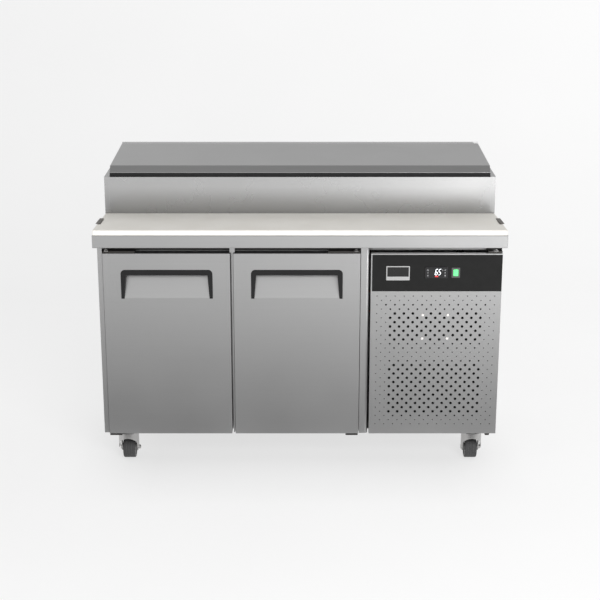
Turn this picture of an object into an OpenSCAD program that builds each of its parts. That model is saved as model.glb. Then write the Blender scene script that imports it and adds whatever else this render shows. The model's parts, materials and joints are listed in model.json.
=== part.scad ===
// Refrigerated sandwich prep table: two doors, a machine compartment behind a
// perforated service panel, a cutting board in front of a raised, lidded pan well.
// The origin is on the floor, under the middle of the whole table.
// +X points right, +Y points back and +Z points up. All sizes are in millimetres.

/* [Cabinet] */
// Width of the cabinet body
body_w = 1360; // [1200:10:1600]
// Depth from the front of the worktop lip to the back panel
overall_d = 742; // [700:1:800]
// Height of the cabinet's underside above the floor
body_z0 = 119.4; // [110:0.1:140]
// Height of the worktop lip's underside above the floor
body_top = 801.4; // [780:0.1:820]
// Distance that the worktop lip stands forward of the doors
lip_reach = 102; // [60:1:120]
// Thickness of the outer sheet steel
sheet = 1.2; // [0.8:0.1:2]

/* [Doors] */
// Height of the top edge of the doors above the floor
door_top = 760; // [740:1:770]
// Thickness of a door without its gasket
door_t = 40; // [35:1:45]
// Left edge of the left door
door_a_x0 = -662; // [-665:1:-655]
// Right edge of the left door
door_a_x1 = -235; // [-240:0.5:-234]
// Left edge of the right door
door_b_x0 = -223.5; // [-226:0.5:-220]
// Right edge of the right door
door_b_x1 = 202.5; // [200:0.5:204]
// Angle that a door is drawn open
door_open = 0; // [0:5:95]

/* [Door handles] */
// Width over the handle's bezel
handle_w = 309; // [260:1:320]
// Height of the handle's bezel
handle_h = 100.5; // [80:0.1:110]
// Drop from the top of the door to the top of the bezel
handle_drop = 55.6; // [45:0.1:70]
// Height of the bezel's top bar
handle_bar_h = 18.9; // [16:0.1:26]
// Width of a bezel leg where it meets the top bar
handle_leg_top = 17; // [14:0.1:24]
// Width of a bezel leg at its lower end
handle_leg_low = 11; // [8:0.1:14]

/* [Service panel] */
// Left edge of the service panel
panel_x0 = 238.5; // [236:0.5:242]
// Right edge of the service panel
panel_x1 = 679.5; // [677:0.5:679.5]
// Height of the black control strip
strip_h = 125.9; // [110:0.1:140]
// Step of the staggered grid of perforations
perf_step = 15.283; // [14:0.001:16]
// Diameter of the open ventilation holes
perf_d = 9.5; // [8:0.1:11]
// Diameter of the small holes round the edges
perf_small_d = 3.7; // [3:0.1:4.5]

/* [Worktop and hood] */
// Height of the worktop lip
lip_h = 41.5; // [35:0.5:50]
// Thickness of the cutting board
board_t = 17.5; // [12:0.5:25]
// Depth of the cutting board, front to back
board_d = 293.5; // [250:0.5:293.5]
// Height of the hood's front wall above the worktop
hood_front_h = 144; // [120:1:160]
// Number of food pans in the well
pan_count = 7; // [5:1:7]
// Angle that the lid is drawn open
lid_open = 0; // [0:5:105]

/* [Casters] */
// Radius of a caster wheel
wheel_r = 37.5; // [30:0.5:38]
// Width of a caster wheel
wheel_w = 42; // [24:1:44]
// Distance from a caster's swivel axis back to its axle
caster_trail = 24; // [15:1:28]

/* [Hidden] */
$fn = 48;
eps = 0.01;

// Main planes
half_w = body_w / 2;
y_front = -overall_d / 2;
y_back = overall_d / 2;
y_door = y_front + lip_reach;
y_frame = y_door + door_t + 8;
frame_t = 20;
work_top = body_top + lip_h;

// Cold compartment
jamb_w = 16;
jamb_setback = 9;
mullion_x0 = door_b_x1 + 2;
mullion_x1 = 229;
mullion_lip_x = panel_x0 - 5;
mullion_round = 9;
seal_inset = 12;
seal_w = 16;
seal_t = 7;
opening_inset = 32;
liner_t = 0.8;
wall_t = 45;
liner_back = y_back - wall_t;
open_z0 = body_z0 + opening_inset;
open_z1 = door_top - opening_inset;
open_a = [door_a_x0 + opening_inset, door_a_x1 - opening_inset];
open_b = [door_b_x0 + opening_inset, door_b_x1 - opening_inset];
strip_x = (door_a_x1 + door_b_x0) / 2;
strip_w = 4.8;
strip_face_x = strip_x + 1.65;
strip_top_w = 17;

// Door hinges
pivot_in = 14;
pivot_back = 6;
pin_r = 4;
pin_fit = 0.05;
pin_room = 0.7;
pin_len = 20;
plate_t = 4.5;
plate_gap = 3;
bracket_l = 106;
bracket_end = 12;

// Door handle
handle_r = 15;
handle_proud = 1.5;
handle_deep = 29;
grip_t = 8;
ramp_deep = 25.5;
leg_reach = 2.4;
pocket_wall = 3;

// Service panel
panel_fold = 20;
panel_pivot_in = 27.5;
panel_edge = 4;
strip_t = 1.5;
strip_z1 = door_top - panel_edge;
strip_z0 = strip_z1 - strip_h;
perf_x0 = panel_x0 + 21.5;
perf_z0 = strip_z0 - 16.7;
perf_rows = 31;
perf_last = 26;
screw_x = [perf_x0 + 10.2 * perf_step, perf_x0 + 15.75 * perf_step];
screw_z = [perf_z0 - 4.35 * perf_step, perf_z0 - 9.75 * perf_step];
controls_z = 695;
badge_x = 329;
badge_z = 693.2;
badge_size = [78.5, 48.6];
thermo_x = 458;
thermo_size = [77, 39];
thermo_deep = 58;
display_size = [43, 30];
key_size = [7, 9];
key_dx = 29;
key_dz = 9.5;
switch_x = 523;
switch_size = [28, 34.5];
rocker_size = [16, 22];
rocker_pin_r = 1.5;
rocker_pin_l = 18.9;
rocker_pivot = y_door - strip_t + 0.6;
rocker_tilt = 7;

// Hood, pan well and lid
hood_half = 675.6;
hood_y0 = y_front + 294;
hood_z0 = work_top;
hood_z1 = work_top + hood_front_h;
hood_slope = 0.0717;
rail_half = 652;
rail_y0 = 281;
rail_z = 1048;
upstand_half = 672;
upstand_t = 6;
hood_sheet = 1.5;
lid_half = 659;
lid_y0 = hood_y0 + 13;
lid_y1 = 269;
lid_seat = 11.5;
lid_edge_h = 1.8;
lid_nose = [25, 22.1];
lid_rear_z = 1056.2;
lid_sheet = 1.2;
lid_seal_w = 16;
lid_pivot_y = 275;
lid_pivot_z = 1047;
knuckle_r = 5.4;
knuckle_pin_r = 3;
knuckle_x = [-500, 0, 500];
knuckle_l = 44;
knuckle_gap = 0.4;
well_half = 626;
well_y0 = lid_y0 + lid_seal_w + 4;
well_y1 = lid_y1 - lid_seal_w - 7;
well_floor = work_top - 36;
well_rim = 975;
well_t = 1;
pan_w = 162;
pan_d = 265;
pan_deep = 150;
pan_t = 0.9;
pan_pitch = 174;
pan_rim_w = 12;
bar_w = 26;
bar_h = 5;
clip_len = 90;
clip_w = 14;
clip_out = 5;
clip_y = y_door + 45;

// Machine compartment
room_x0 = mullion_x1 + 4;
tray_z = body_z0 + sheet;
comp_pos = [345, 215];
comp_r = 84;
comp_h = 205;
compressor_lift = 18;
cond_pos = [455, -150];
cond_size = [270, 58, 250];
cond_z = tray_z + 22;
fan_r = 105;
fan_y = cond_pos[1] + cond_size[1] + 42;
fan_z = cond_z + cond_size[2] / 2;
fan_shaft_r = 4;
pipe_r = 4;
drier_pos = [520, 60, 470];
drier_r = 12;
drier_l = 90;
suction_z = 500;
gland_pos = [620, 620];
gland_hole_r = 11;
gland_bore_r = 5;
gland_l = 26;
louvre_z = 200;
louvre_count = 14;
louvre_pitch = 22;
louvre_h = 7;
side_louvre_y = [20, 180];
back_louvre_x = [[290, 450], [470, 630]];
evap_pos = [-214, 258];
evap_size = [230, 66, 250];
evap_z = 462;
evap_fan_z = 640;
evap_fan_r = 62;

// Shelves
shelf_z = 430;
shelf_y = [-195, 245];
shelf_gap = 6;
shelf_rods = 16;
post_y = [-150, 190];
post_w = 22;
post_t = 4;

// Casters
caster_x = 604;
caster_y = [-209, 292];
caster_plate = [80, 64];
caster_plate_t = 4;
race_r = 25;
race_h = 9;
cup_r = 35.5;
cup_t = 3;
cup_low = 50;
arch_r = 33;
arch_lift = 6;
cup_top = body_z0 - caster_plate_t - race_h - 0.4;
leg_x = 26;
leg_t = 3;
axle_r = 5;
hub_r = 13;

// ---- Shared shapes ----

module slab(x0, x1, y0, y1, z0, z1) {
    translate([x0, y0, z0]) {
        cube([x1 - x0, y1 - y0, z1 - z0]);
    }
}

// A plate with its outline in X and Z, from y0 back to y1
module upright(y0, y1) {
    translate([0, y1, 0]) {
        rotate([90, 0, 0]) {
            linear_extrude(y1 - y0) {
                children();
            }
        }
    }
}

// A profile drawn in Y and Z, extruded along X from x0 to x1
module along_x(x0, x1) {
    translate([x0, 0, 0]) {
        rotate([90, 0, 90]) {
            linear_extrude(x1 - x0) {
                children();
            }
        }
    }
}

module rounded_rect(size, r) {
    union() {
        square([size[0] - 2 * r, size[1]], center = true);
        square([size[0], size[1] - 2 * r], center = true);
        for (sx = [-1, 1], sy = [-1, 1]) {
            translate([sx * (size[0] / 2 - r), sy * (size[1] / 2 - r)]) {
                circle(r);
            }
        }
    }
}

// ---- Cabinet ----

module jamb_profile() {
    y0 = y_door + jamb_setback;
    union() {
        translate([-half_w, y0]) {
            square([sheet, y_back - sheet - y0]);
        }
        translate([-half_w, y0]) {
            square([jamb_w, sheet]);
        }
        translate([-half_w + jamb_w - sheet, y0]) {
            square([sheet, y_frame - y0]);
        }
    }
}

module side_panel_left() {
    color("silver") {
        translate([0, 0, body_z0]) {
            linear_extrude(body_top - body_z0) {
                jamb_profile();
            }
        }
    }
}

module louvres(x0, x1, y0, y1) {
    for (i = [0 : louvre_count - 1]) {
        z = louvre_z + i * louvre_pitch;
        slab(x0, x1, y0, y1, z, z + louvre_h);
    }
}

module side_panel_right() {
    color("silver") {
        difference() {
            slab(
                half_w - sheet, half_w, y_door + panel_fold + 1.5, y_back - sheet,
                body_z0, body_top
            );
            louvres(half_w - 5, half_w + 5, side_louvre_y[0], side_louvre_y[1]);
        }
    }
}

module back_panel() {
    color("lightgray") {
        difference() {
            slab(-half_w, half_w, y_back - sheet, y_back, body_z0, body_top);
            for (span = back_louvre_x) {
                louvres(span[0], span[1], y_back - 5, y_back + 5);
            }
            translate([gland_pos[0], y_back, gland_pos[1]]) {
                rotate([90, 0, 0]) {
                    cylinder(r = gland_hole_r, h = 10, center = true);
                }
            }
        }
    }
}

module base_pan() {
    color("lightgray") {
        slab(
            -half_w + sheet, half_w - sheet, y_frame, y_back - sheet, body_z0, body_z0 + sheet
        );
    }
}

// The mullion beside the machine compartment has a round edge next to the service panel
module mullion_profile() {
    y0 = y_door + 1;
    round_x = mullion_lip_x - mullion_round;
    union() {
        polygon([
            [mullion_x0, y0],
            [round_x, y0],
            [mullion_lip_x, y0 + mullion_round],
            [mullion_lip_x, y_frame + frame_t],
            [mullion_x0, y_frame + frame_t]
        ]);
        translate([round_x, y0 + mullion_round]) {
            circle(mullion_round);
        }
    }
}

module front_frame() {
    z0 = body_z0 + sheet;
    color("silver") {
        union() {
            difference() {
                slab(
                    -half_w + sheet, mullion_x0 + eps, y_frame, y_frame + frame_t, z0, body_top
                );
                for (span = [open_a, open_b]) {
                    slab(
                        span[0], span[1], y_frame - 1, y_frame + frame_t + 1, open_z0, open_z1
                    );
                }
            }
            translate([0, 0, z0]) {
                linear_extrude(body_top - z0) {
                    mullion_profile();
                }
            }
            slab(
                strip_face_x - strip_w / 2, strip_face_x + strip_w / 2,
                y_door + jamb_setback, y_frame + 1, z0, body_top
            );
            slab(
                strip_face_x - strip_top_w / 2, strip_face_x + strip_top_w / 2,
                y_door + jamb_setback, y_frame + 1, door_top + 2, body_top
            );
            slab(
                mullion_x1 - 1, half_w - sheet,
                y_frame, y_frame + frame_t, door_top + 2, body_top
            );
        }
    }
}

module liner_block(grow) {
    slab(
        open_a[0] - grow, open_b[1] + grow,
        y_frame + frame_t, liner_back + grow, open_z0 - grow, open_z1 + grow
    );
}

module cabinet_liner() {
    color("gainsboro") {
        difference() {
            liner_block(liner_t);
            slab(
                open_a[0], open_b[1], y_frame, liner_back, open_z0, open_z1
            );
        }
    }
}

module cabinet_foam() {
    color("khaki") {
        difference() {
            slab(
                -half_w + sheet, mullion_x1, y_frame + frame_t, y_back - sheet,
                body_z0 + sheet, body_top
            );
            liner_block(liner_t);
        }
    }
}

module shelf(x0, x1) {
    rod_r = 2;
    rail_r = 3.5;
    step = (x1 - x0 - 2 * rail_r) / (shelf_rods - 1);
    for (i = [0 : shelf_rods - 1]) {
        translate([x0 + rail_r + i * step, shelf_y[0], shelf_z]) {
            rotate([-90, 0, 0]) {
                cylinder(r = rod_r, h = shelf_y[1] - shelf_y[0]);
            }
        }
    }
    for (y = [shelf_y[0] + 6, (shelf_y[0] + shelf_y[1]) / 2, shelf_y[1] - 6]) {
        translate([x0, y, shelf_z - rail_r - rod_r + 1]) {
            rotate([0, 90, 0]) {
                cylinder(r = rail_r, h = x1 - x0);
            }
        }
    }
}

module shelves() {
    color("whitesmoke") {
        union() {
            shelf(open_a[0] + shelf_gap, strip_x - shelf_gap);
        }
        union() {
            shelf(strip_x + shelf_gap, open_b[1] - shelf_gap);
        }
    }
}

// Slotted uprights on the liner's end walls and back, with a ledge under each shelf
module shelf_supports() {
    z0 = open_z0 + 30;
    z1 = open_z1 - 60;
    ledge_z = shelf_z - 8;
    color("silver") {
        for (y = post_y) {
            slab(
                open_a[0], open_a[0] + post_t, y - post_w / 2, y + post_w / 2, z0, z1
            );
            slab(
                open_a[0] + post_t, open_a[0] + 20, y - 8, y + 8, ledge_z - 3, ledge_z
            );
            slab(
                open_b[1] - post_t, open_b[1], y - post_w / 2, y + post_w / 2, z0, z1
            );
            slab(
                open_b[1] - 20, open_b[1] - post_t, y - 8, y + 8, ledge_z - 3, ledge_z
            );
        }
        for (y = post_y) {
            slab(strip_x - 16, strip_x + 16, y - 8, y + 8, open_z0, ledge_z);
        }
    }
}

// A finned coil in a folded casing, with a round outlet for its fan
module evaporator() {
    x0 = evap_pos[0] - evap_size[0] / 2;
    x1 = evap_pos[0] + evap_size[0] / 2;
    y1 = liner_back;
    y0 = y1 - evap_size[1];
    fins = 18;
    color("gainsboro") {
        difference() {
            slab(x0, x1, y0, y1, evap_z, evap_z + evap_size[2]);
            slab(
                x0 + 1.5, x1 - 1.5, y0 + 1.5, y1 - 1.5, evap_z - 1, evap_z + evap_size[2] - 1.5
            );
            translate([evap_pos[0], y0, evap_fan_z]) {
                rotate([90, 0, 0]) {
                    cylinder(r = evap_fan_r + 4, h = 8, center = true);
                }
            }
        }
        for (i = [0 : fins - 1]) {
            x = x0 + 18 + i * (evap_size[0] - 36) / (fins - 1);
            slab(x - 0.4, x + 0.4, y0 + 12, y1 - 12, evap_z + 6, evap_z + 92);
        }
        union() {
            slab(
                evap_pos[0] - 22, evap_pos[0] + 22, y1 - 32, y1 - 1.5,
                evap_fan_z - 22, evap_fan_z + 22
            );
            translate([evap_pos[0], y1 - 31, evap_fan_z]) {
                rotate([90, 0, 0]) {
                    cylinder(r = fan_shaft_r, h = 22);
                }
            }
        }
    }
}

// A hub with a shaft bore and flat blades set at an angle, on an axis along Y
module fan_wheel(r, hub, depth, blades, pitch) {
    rotate([90, 0, 0]) {
        difference() {
            union() {
                cylinder(r = hub, h = depth, center = true);
                intersection() {
                    cylinder(r = r, h = depth, center = true);
                    for (i = [0 : blades - 1]) {
                        rotate([0, 0, i * 360 / blades]) {
                            translate([r / 2, 0, 0]) {
                                rotate([pitch, 0, 0]) {
                                    cube([r, r * 0.62, 1.6], center = true);
                                }
                            }
                        }
                    }
                }
            }
            cylinder(r = fan_shaft_r + pin_fit, h = depth + 2, center = true);
        }
    }
}

module evaporator_fan() {
    color("dimgray") {
        translate([evap_pos[0], liner_back - 46, evap_fan_z]) {
            fan_wheel(evap_fan_r, 17, 16, 5, 22);
        }
    }
}

// ---- Machine compartment ----

module machine_tray() {
    z0 = tray_z;
    color("lightgray") {
        difference() {
            slab(room_x0 + 6, half_w - 12, -215, y_back - 10, z0, z0 + 18);
            slab(room_x0 + 8, half_w - 14, -213, y_back - 12, z0 + 2, z0 + 19);
        }
    }
}

module compressor() {
    foot_z = tray_z + 2;
    foot_dx = 78;
    foot_dy = 50;
    body_low = tray_z + compressor_lift;
    color("black") {
        translate([comp_pos[0], comp_pos[1], 0]) {
            union() {
                translate([0, 0, body_low]) {
                    rotate_extrude() {
                        union() {
                            square([comp_r - 26, comp_h]);
                            translate([0, 26]) {
                                square([comp_r, comp_h - 52]);
                            }
                            translate([comp_r - 26, 26]) {
                                circle(26);
                            }
                            translate([comp_r - 26, comp_h - 26]) {
                                circle(26);
                            }
                        }
                    }
                }
                slab(
                    -foot_dx - 14, foot_dx + 14, -foot_dy - 14, foot_dy + 14,
                    foot_z + 12, foot_z + 22
                );
                translate([comp_r - 18, 0, body_low + 90]) {
                    cube([60, 70, 80], center = true);
                }
                for (sx = [-1, 1], sy = [-1, 1]) {
                    translate([sx * foot_dx, sy * foot_dy, foot_z]) {
                        cylinder(r = 11, h = 13);
                    }
                }
            }
        }
    }
}

// A block of upright fins between two end plates
module condenser() {
    x0 = cond_pos[0] - cond_size[0] / 2;
    x1 = cond_pos[0] + cond_size[0] / 2;
    y0 = cond_pos[1];
    y1 = cond_pos[1] + cond_size[1];
    pitch = 6;
    count = 42;
    color("silver") {
        union() {
            for (i = [0 : count - 1]) {
                x = x0 + 8 + i * pitch;
                slab(x, x + 1, y0 + 3, y1 - 3, cond_z + 2, cond_z + cond_size[2] - 2);
            }
            for (x = [x0, x1 - 2]) {
                slab(x, x + 2, y0, y1, tray_z + 2, cond_z + cond_size[2]);
            }
            for (z = [cond_z + 25 : 50 : cond_z + cond_size[2]]) {
                slab(
                    x0, x1, y0 + cond_size[1] / 2 - 5, y0 + cond_size[1] / 2 + 5, z - 5, z + 5
                );
            }
        }
    }
}

module fan_shroud() {
    x0 = cond_pos[0] - cond_size[0] / 2;
    x1 = cond_pos[0] + cond_size[0] / 2;
    y0 = cond_pos[1] + cond_size[1];
    y1 = y0 + 60;
    motor_y = fan_y + 32;
    color("dimgray") {
        union() {
            difference() {
                slab(x0, x1, y0, y1, tray_z + 2, cond_z + cond_size[2]);
                slab(
                    x0 + 2, x1 - 2, y0 - 1, y1 - 2, tray_z + 1, cond_z + cond_size[2] - 2
                );
                translate([cond_pos[0], y1, fan_z]) {
                    rotate([90, 0, 0]) {
                        cylinder(r = fan_r + 6, h = 12, center = true);
                    }
                }
            }
            for (side = [-1, 1]) {
                slab(
                    cond_pos[0] - 8 + side * 60, cond_pos[0] + 8 + side * 60,
                    y1 - 2, motor_y + 12, fan_z - fan_r - 14, fan_z - fan_r - 10
                );
            }
            slab(
                cond_pos[0] - 68, cond_pos[0] + 68, motor_y + 8, motor_y + 12,
                fan_z - fan_r - 14, fan_z + 12
            );
            translate([cond_pos[0], motor_y + 10, fan_z]) {
                rotate([90, 0, 0]) {
                    cylinder(r = 38, h = 22);
                }
            }
            translate([cond_pos[0], motor_y, fan_z]) {
                rotate([90, 0, 0]) {
                    cylinder(r = fan_shaft_r, h = 52);
                }
            }
        }
    }
}

module condenser_fan() {
    color("black") {
        translate([cond_pos[0], fan_y, fan_z]) {
            fan_wheel(fan_r, 22, 26, 5, 24);
        }
    }
}

module pipe(a, b, r) {
    d = b - a;
    len = norm(d);
    translate(a) {
        rotate([0, acos(d[2] / len), atan2(d[1], d[0])]) {
            cylinder(r = r, h = len);
        }
    }
}

// Straight runs of pipe with a ball at each inner point, so that they join in elbows
module pipe_run(points, r) {
    last = len(points) - 1;
    for (i = [0 : last - 1]) {
        pipe(points[i], points[i + 1], r);
    }
    for (i = [1 : last - 1]) {
        translate(points[i]) {
            sphere(r);
        }
    }
}

// Discharge line to the condenser, liquid line with its drier, and suction line
module refrigerant_pipes() {
    comp_top = tray_z + compressor_lift + comp_h;
    over_z = comp_top + 50;
    discharge = [comp_pos[0] + 20, comp_pos[1] - 20];
    suction = [comp_pos[0] - 30, comp_pos[1] + 20];
    plate_x = cond_pos[0] + cond_size[0] / 2;
    riser_x = plate_x + 14;
    liquid_x = plate_x + 22;
    coil_y = cond_pos[1] + cond_size[1] / 2;
    inlet_z = cond_z + 225;
    outlet_z = cond_z + 25;
    color("peru") {
        pipe_run([
            [discharge[0], discharge[1], comp_top], [discharge[0], discharge[1], over_z],
            [riser_x, discharge[1], over_z], [riser_x, coil_y, over_z],
            [riser_x, coil_y, inlet_z], [plate_x, coil_y, inlet_z]
        ], pipe_r);
        pipe_run([
            [plate_x, coil_y, outlet_z], [liquid_x, coil_y, outlet_z],
            [liquid_x, drier_pos[1], outlet_z], [liquid_x, drier_pos[1], drier_pos[2]],
            [room_x0 + 20, drier_pos[1], drier_pos[2]]
        ], pipe_r);
        translate(drier_pos) {
            rotate([0, 90, 0]) {
                cylinder(r = drier_r, h = drier_l, center = true);
            }
        }
        pipe_run([
            [suction[0], suction[1], comp_top], [suction[0], suction[1], suction_z],
            [room_x0 + 4, suction[1], suction_z]
        ], pipe_r + 1);
    }
}

module cable_gland() {
    color("black") {
        translate([gland_pos[0], y_back, gland_pos[1]]) {
            rotate([90, 0, 0]) {
                difference() {
                    union() {
                        translate([0, 0, sheet]) {
                            cylinder(r = 16, h = 6, $fn = 6);
                        }
                        cylinder(r = gland_hole_r - 0.1, h = gland_l);
                    }
                    translate([0, 0, -1]) {
                        cylinder(r = gland_bore_r, h = gland_l + 2);
                    }
                }
            }
        }
    }
}

// ---- Worktop, board, hood and pans ----

module worktop() {
    x = hood_half + 1.4;
    color("silver") {
        difference() {
            slab(-x, x, y_front, y_back, body_top, work_top);
            slab(
                -x + hood_sheet, x - hood_sheet, y_door + 6, y_back - hood_sheet,
                body_top - 1, work_top - hood_sheet
            );
            slab(
                -x + hood_sheet, x - hood_sheet, y_front + hood_sheet, y_door + 4.5,
                body_top + hood_sheet, work_top - hood_sheet
            );
            slab(
                -well_half - 1, well_half + 1, well_y0 - 1, well_y1 + 1,
                body_top - 1, work_top + 1
            );
        }
    }
}

module cutting_board() {
    x = hood_half - 1.6;
    z0 = work_top + 0.2;
    color("ivory") {
        difference() {
            slab(-x, x, y_front, y_front + board_d, z0, z0 + board_t);
            for (side = [-1, 1]) {
                translate([side * x, clip_y, z0 + board_t / 2]) {
                    cube(
                        [2 * (clip_w - clip_out) + 2, clip_len + 2, board_t + 2], center = true
                    );
                }
            }
        }
    }
}

// A folded clip at each end of the board keeps it from sliding
module board_clips() {
    x = hood_half - 1.6;
    color("gray") {
        for (side = [-1, 1]) {
            translate([side * (x + clip_out - clip_w / 2), clip_y, work_top]) {
                union() {
                    translate([0, 0, 1]) {
                        cube([clip_w, clip_len, 2], center = true);
                    }
                    translate([0, 0, 10]) {
                        cube([3, clip_len, 20], center = true);
                    }
                    translate([0, 0, 19]) {
                        cube([clip_w, clip_len, 2], center = true);
                    }
                }
            }
        }
    }
}

function hood_z(y) = hood_z1 + (y - hood_y0) * hood_slope;

// The outline of the hood seen from its end, set in by t on every edge but the base
module hood_outline(t, base) {
    polygon([
        [hood_y0 + t, base],
        [hood_y0 + t, hood_z(hood_y0) - t],
        [y_back - t, hood_z(y_back) - t],
        [y_back - t, base]
    ]);
}

// The outline of the hollow rail behind the lid, which carries the lid's hinges
module rail_outline(t) {
    polygon([
        [rail_y0 + t, hood_z1],
        [rail_y0 + t, rail_z - t],
        [y_back - t, rail_z - t],
        [y_back - t, hood_z1]
    ]);
}

module hood_shell() {
    color("silver") {
        difference() {
            union() {
                along_x(-hood_half, hood_half) {
                    hood_outline(0, hood_z0);
                }
                along_x(-rail_half, rail_half) {
                    rail_outline(0);
                }
                slab(
                    -upstand_half, upstand_half, y_back - upstand_t, y_back,
                    hood_z(y_back) - 1, rail_z
                );
            }
            along_x(-hood_half + hood_sheet, hood_half - hood_sheet) {
                hood_outline(hood_sheet, hood_z0 - 1);
            }
            along_x(-rail_half + hood_sheet, rail_half - hood_sheet) {
                rail_outline(hood_sheet);
            }
            slab(
                -well_half - 1, well_half + 1, well_y0 - 1, well_y1 + 1,
                hood_z0, rail_z + 10
            );
        }
    }
}

// A tub with a ledge for the pans along each side and bars between the pans
module pan_well() {
    mid = (well_y0 + well_y1) / 2;
    ledge = (well_y1 - well_y0 - 245) / 2;
    first = -(pan_count - 1) / 2 * pan_pitch;
    color("gainsboro") {
        union() {
            difference() {
                slab(-well_half, well_half, well_y0, well_y1, well_floor, hood_z1 - 1);
                slab(
                    -well_half + well_t, well_half - well_t, well_y0 + well_t, well_y1 - well_t,
                    well_floor + well_t, hood_z1
                );
            }
            slab(
                -well_half, well_half, well_y0, well_y0 + ledge, well_rim - bar_h, well_rim
            );
            slab(
                -well_half, well_half, well_y1 - ledge, well_y1, well_rim - bar_h, well_rim
            );
            for (i = [0 : pan_count]) {
                x = first + (i - 0.5) * pan_pitch;
                slab(
                    x - bar_w / 2, x + bar_w / 2, mid - 125, mid + 125, well_rim - bar_h, well_rim
                );
            }
        }
    }
}

module food_pan() {
    body_in = pan_rim_w;
    rim_z = well_rim + 0.2;
    color("gainsboro") {
        translate([0, (well_y0 + well_y1) / 2, 0]) {
            difference() {
                union() {
                    slab(
                        -pan_w / 2, pan_w / 2, -pan_d / 2, pan_d / 2, rim_z, rim_z + 1.4
                    );
                    slab(
                        -pan_w / 2 + body_in, pan_w / 2 - body_in,
                        -pan_d / 2 + body_in, pan_d / 2 - body_in, rim_z - pan_deep, rim_z + 1
                    );
                }
                slab(
                    -pan_w / 2 + body_in + pan_t, pan_w / 2 - body_in - pan_t,
                    -pan_d / 2 + body_in + pan_t, pan_d / 2 - body_in - pan_t,
                    rim_z - pan_deep + pan_t, rim_z + 5
                );
            }
        }
    }
}

module food_pans() {
    for (i = [0 : pan_count - 1]) {
        translate([(i - (pan_count - 1) / 2) * pan_pitch, 0, 0]) {
            food_pan();
        }
    }
}

// ---- Lid ----

function lid_low(y) = hood_z(y) + lid_seat;

module lid_outline(t, drop) {
    polygon([
        [lid_y0 + t, lid_low(lid_y0 + t) - drop],
        [lid_y0 + t, lid_low(lid_y0) + lid_edge_h - t * 0.4],
        [lid_y0 + lid_nose[0] + t * 0.4, lid_low(lid_y0) + lid_nose[1] - t],
        [lid_y1 - t, lid_rear_z - t],
        [lid_y1 - t, lid_low(lid_y1 - t) - drop]
    ]);
}

module swing_lid() {
    translate([0, lid_pivot_y, lid_pivot_z]) {
        rotate([-lid_open, 0, 0]) {
            translate([0, -lid_pivot_y, -lid_pivot_z]) {
                children();
            }
        }
    }
}

module lid_shell() {
    color("silver") {
        swing_lid() {
            difference() {
                along_x(-lid_half, lid_half) {
                    lid_outline(0, 0);
                }
                along_x(-lid_half + lid_sheet, lid_half - lid_sheet) {
                    lid_outline(lid_sheet, 1);
                }
            }
        }
    }
}

module lid_liner() {
    color("gainsboro") {
        swing_lid() {
            along_x(-lid_half + lid_sheet + 0.2, lid_half - lid_sheet - 0.2) {
                lid_outline(lid_sheet + 0.2, 0);
            }
        }
    }
}

module lid_gasket() {
    color("black") {
        swing_lid() {
            difference() {
                along_x(-lid_half + 1, lid_half - 1) {
                    polygon([
                        [lid_y0 + 1, lid_low(lid_y0 + 1) - 2 * eps],
                        [lid_y1 - 1, lid_low(lid_y1 - 1) - 2 * eps],
                        [lid_y1 - 1, hood_z(lid_y1 - 1) + 0.3],
                        [lid_y0 + 1, hood_z(lid_y0 + 1) + 0.3]
                    ]);
                }
                slab(
                    -lid_half + lid_seal_w, lid_half - lid_seal_w,
                    lid_y0 + lid_seal_w, lid_y1 - lid_seal_w, hood_z1 - 10, lid_rear_z
                );
            }
        }
    }
}

module on_lid_axis(x) {
    translate([x, lid_pivot_y, lid_pivot_z]) {
        rotate([0, 90, 0]) {
            children();
        }
    }
}

module lid_hinge_leaves() {
    color("gray") {
        swing_lid() {
            for (x = knuckle_x) {
                difference() {
                    union() {
                        on_lid_axis(x) {
                            cylinder(r = knuckle_r, h = knuckle_l, center = true);
                        }
                        slab(
                            x - knuckle_l / 2, x + knuckle_l / 2, lid_y1, lid_y1 + 3,
                            lid_pivot_z - 16, lid_pivot_z + 2
                        );
                    }
                    on_lid_axis(x) {
                        cylinder(r = knuckle_pin_r + pin_fit, h = knuckle_l + 2, center = true);
                    }
                }
            }
        }
    }
}

module lid_hinges() {
    outer = knuckle_l / 2 + knuckle_gap;
    color("gray") {
        for (x = knuckle_x) {
            union() {
                on_lid_axis(x) {
                    cylinder(r = knuckle_pin_r, h = 2 * knuckle_l, center = true);
                }
                for (side = [-1, 1]) {
                    on_lid_axis(x + side * (outer + 11)) {
                        cylinder(r = knuckle_r, h = 22, center = true);
                    }
                    translate([x + side * (outer + 11), rail_y0 - 1.5, lid_pivot_z - 8]) {
                        cube([22, 3 - 2 * eps, 16], center = true);
                    }
                }
            }
        }
    }
}

// ---- Doors ----

// side is -1 where the hinge is on the left and 1 where it is on the right
function pivot_x(x0, x1, side) = side < 0 ? x0 + pivot_in : x1 - pivot_in;

module swing_door(px, side) {
    translate([px, y_door + pivot_back, 0]) {
        rotate([0, 0, side * door_open]) {
            translate([-px, -y_door - pivot_back, 0]) {
                children();
            }
        }
    }
}

// Outline of the handle's bezel: round upper corners and a square lower edge
module handle_outline() {
    union() {
        translate([0, -handle_h / 2 - handle_r / 2]) {
            square([handle_w, handle_h - handle_r], center = true);
        }
        translate([0, -handle_r]) {
            square([handle_w - 2 * handle_r, 2 * handle_r], center = true);
        }
        for (side = [-1, 1]) {
            translate([side * (handle_w / 2 - handle_r), -handle_r]) {
                circle(handle_r);
            }
        }
    }
}

// The hole that the bezel's bar and tapering legs leave open
module grip_outline() {
    half_low = handle_w / 2 - handle_leg_low;
    half_top = handle_w / 2 - handle_leg_top;
    polygon([
        [-half_low, -handle_h - 1],
        [half_low, -handle_h - 1],
        [half_top, -handle_bar_h],
        [-half_top, -handle_bar_h]
    ]);
}

module at_handle(x0, x1) {
    translate([(x0 + x1) / 2, 0, door_top - handle_drop]) {
        children();
    }
}

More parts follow.
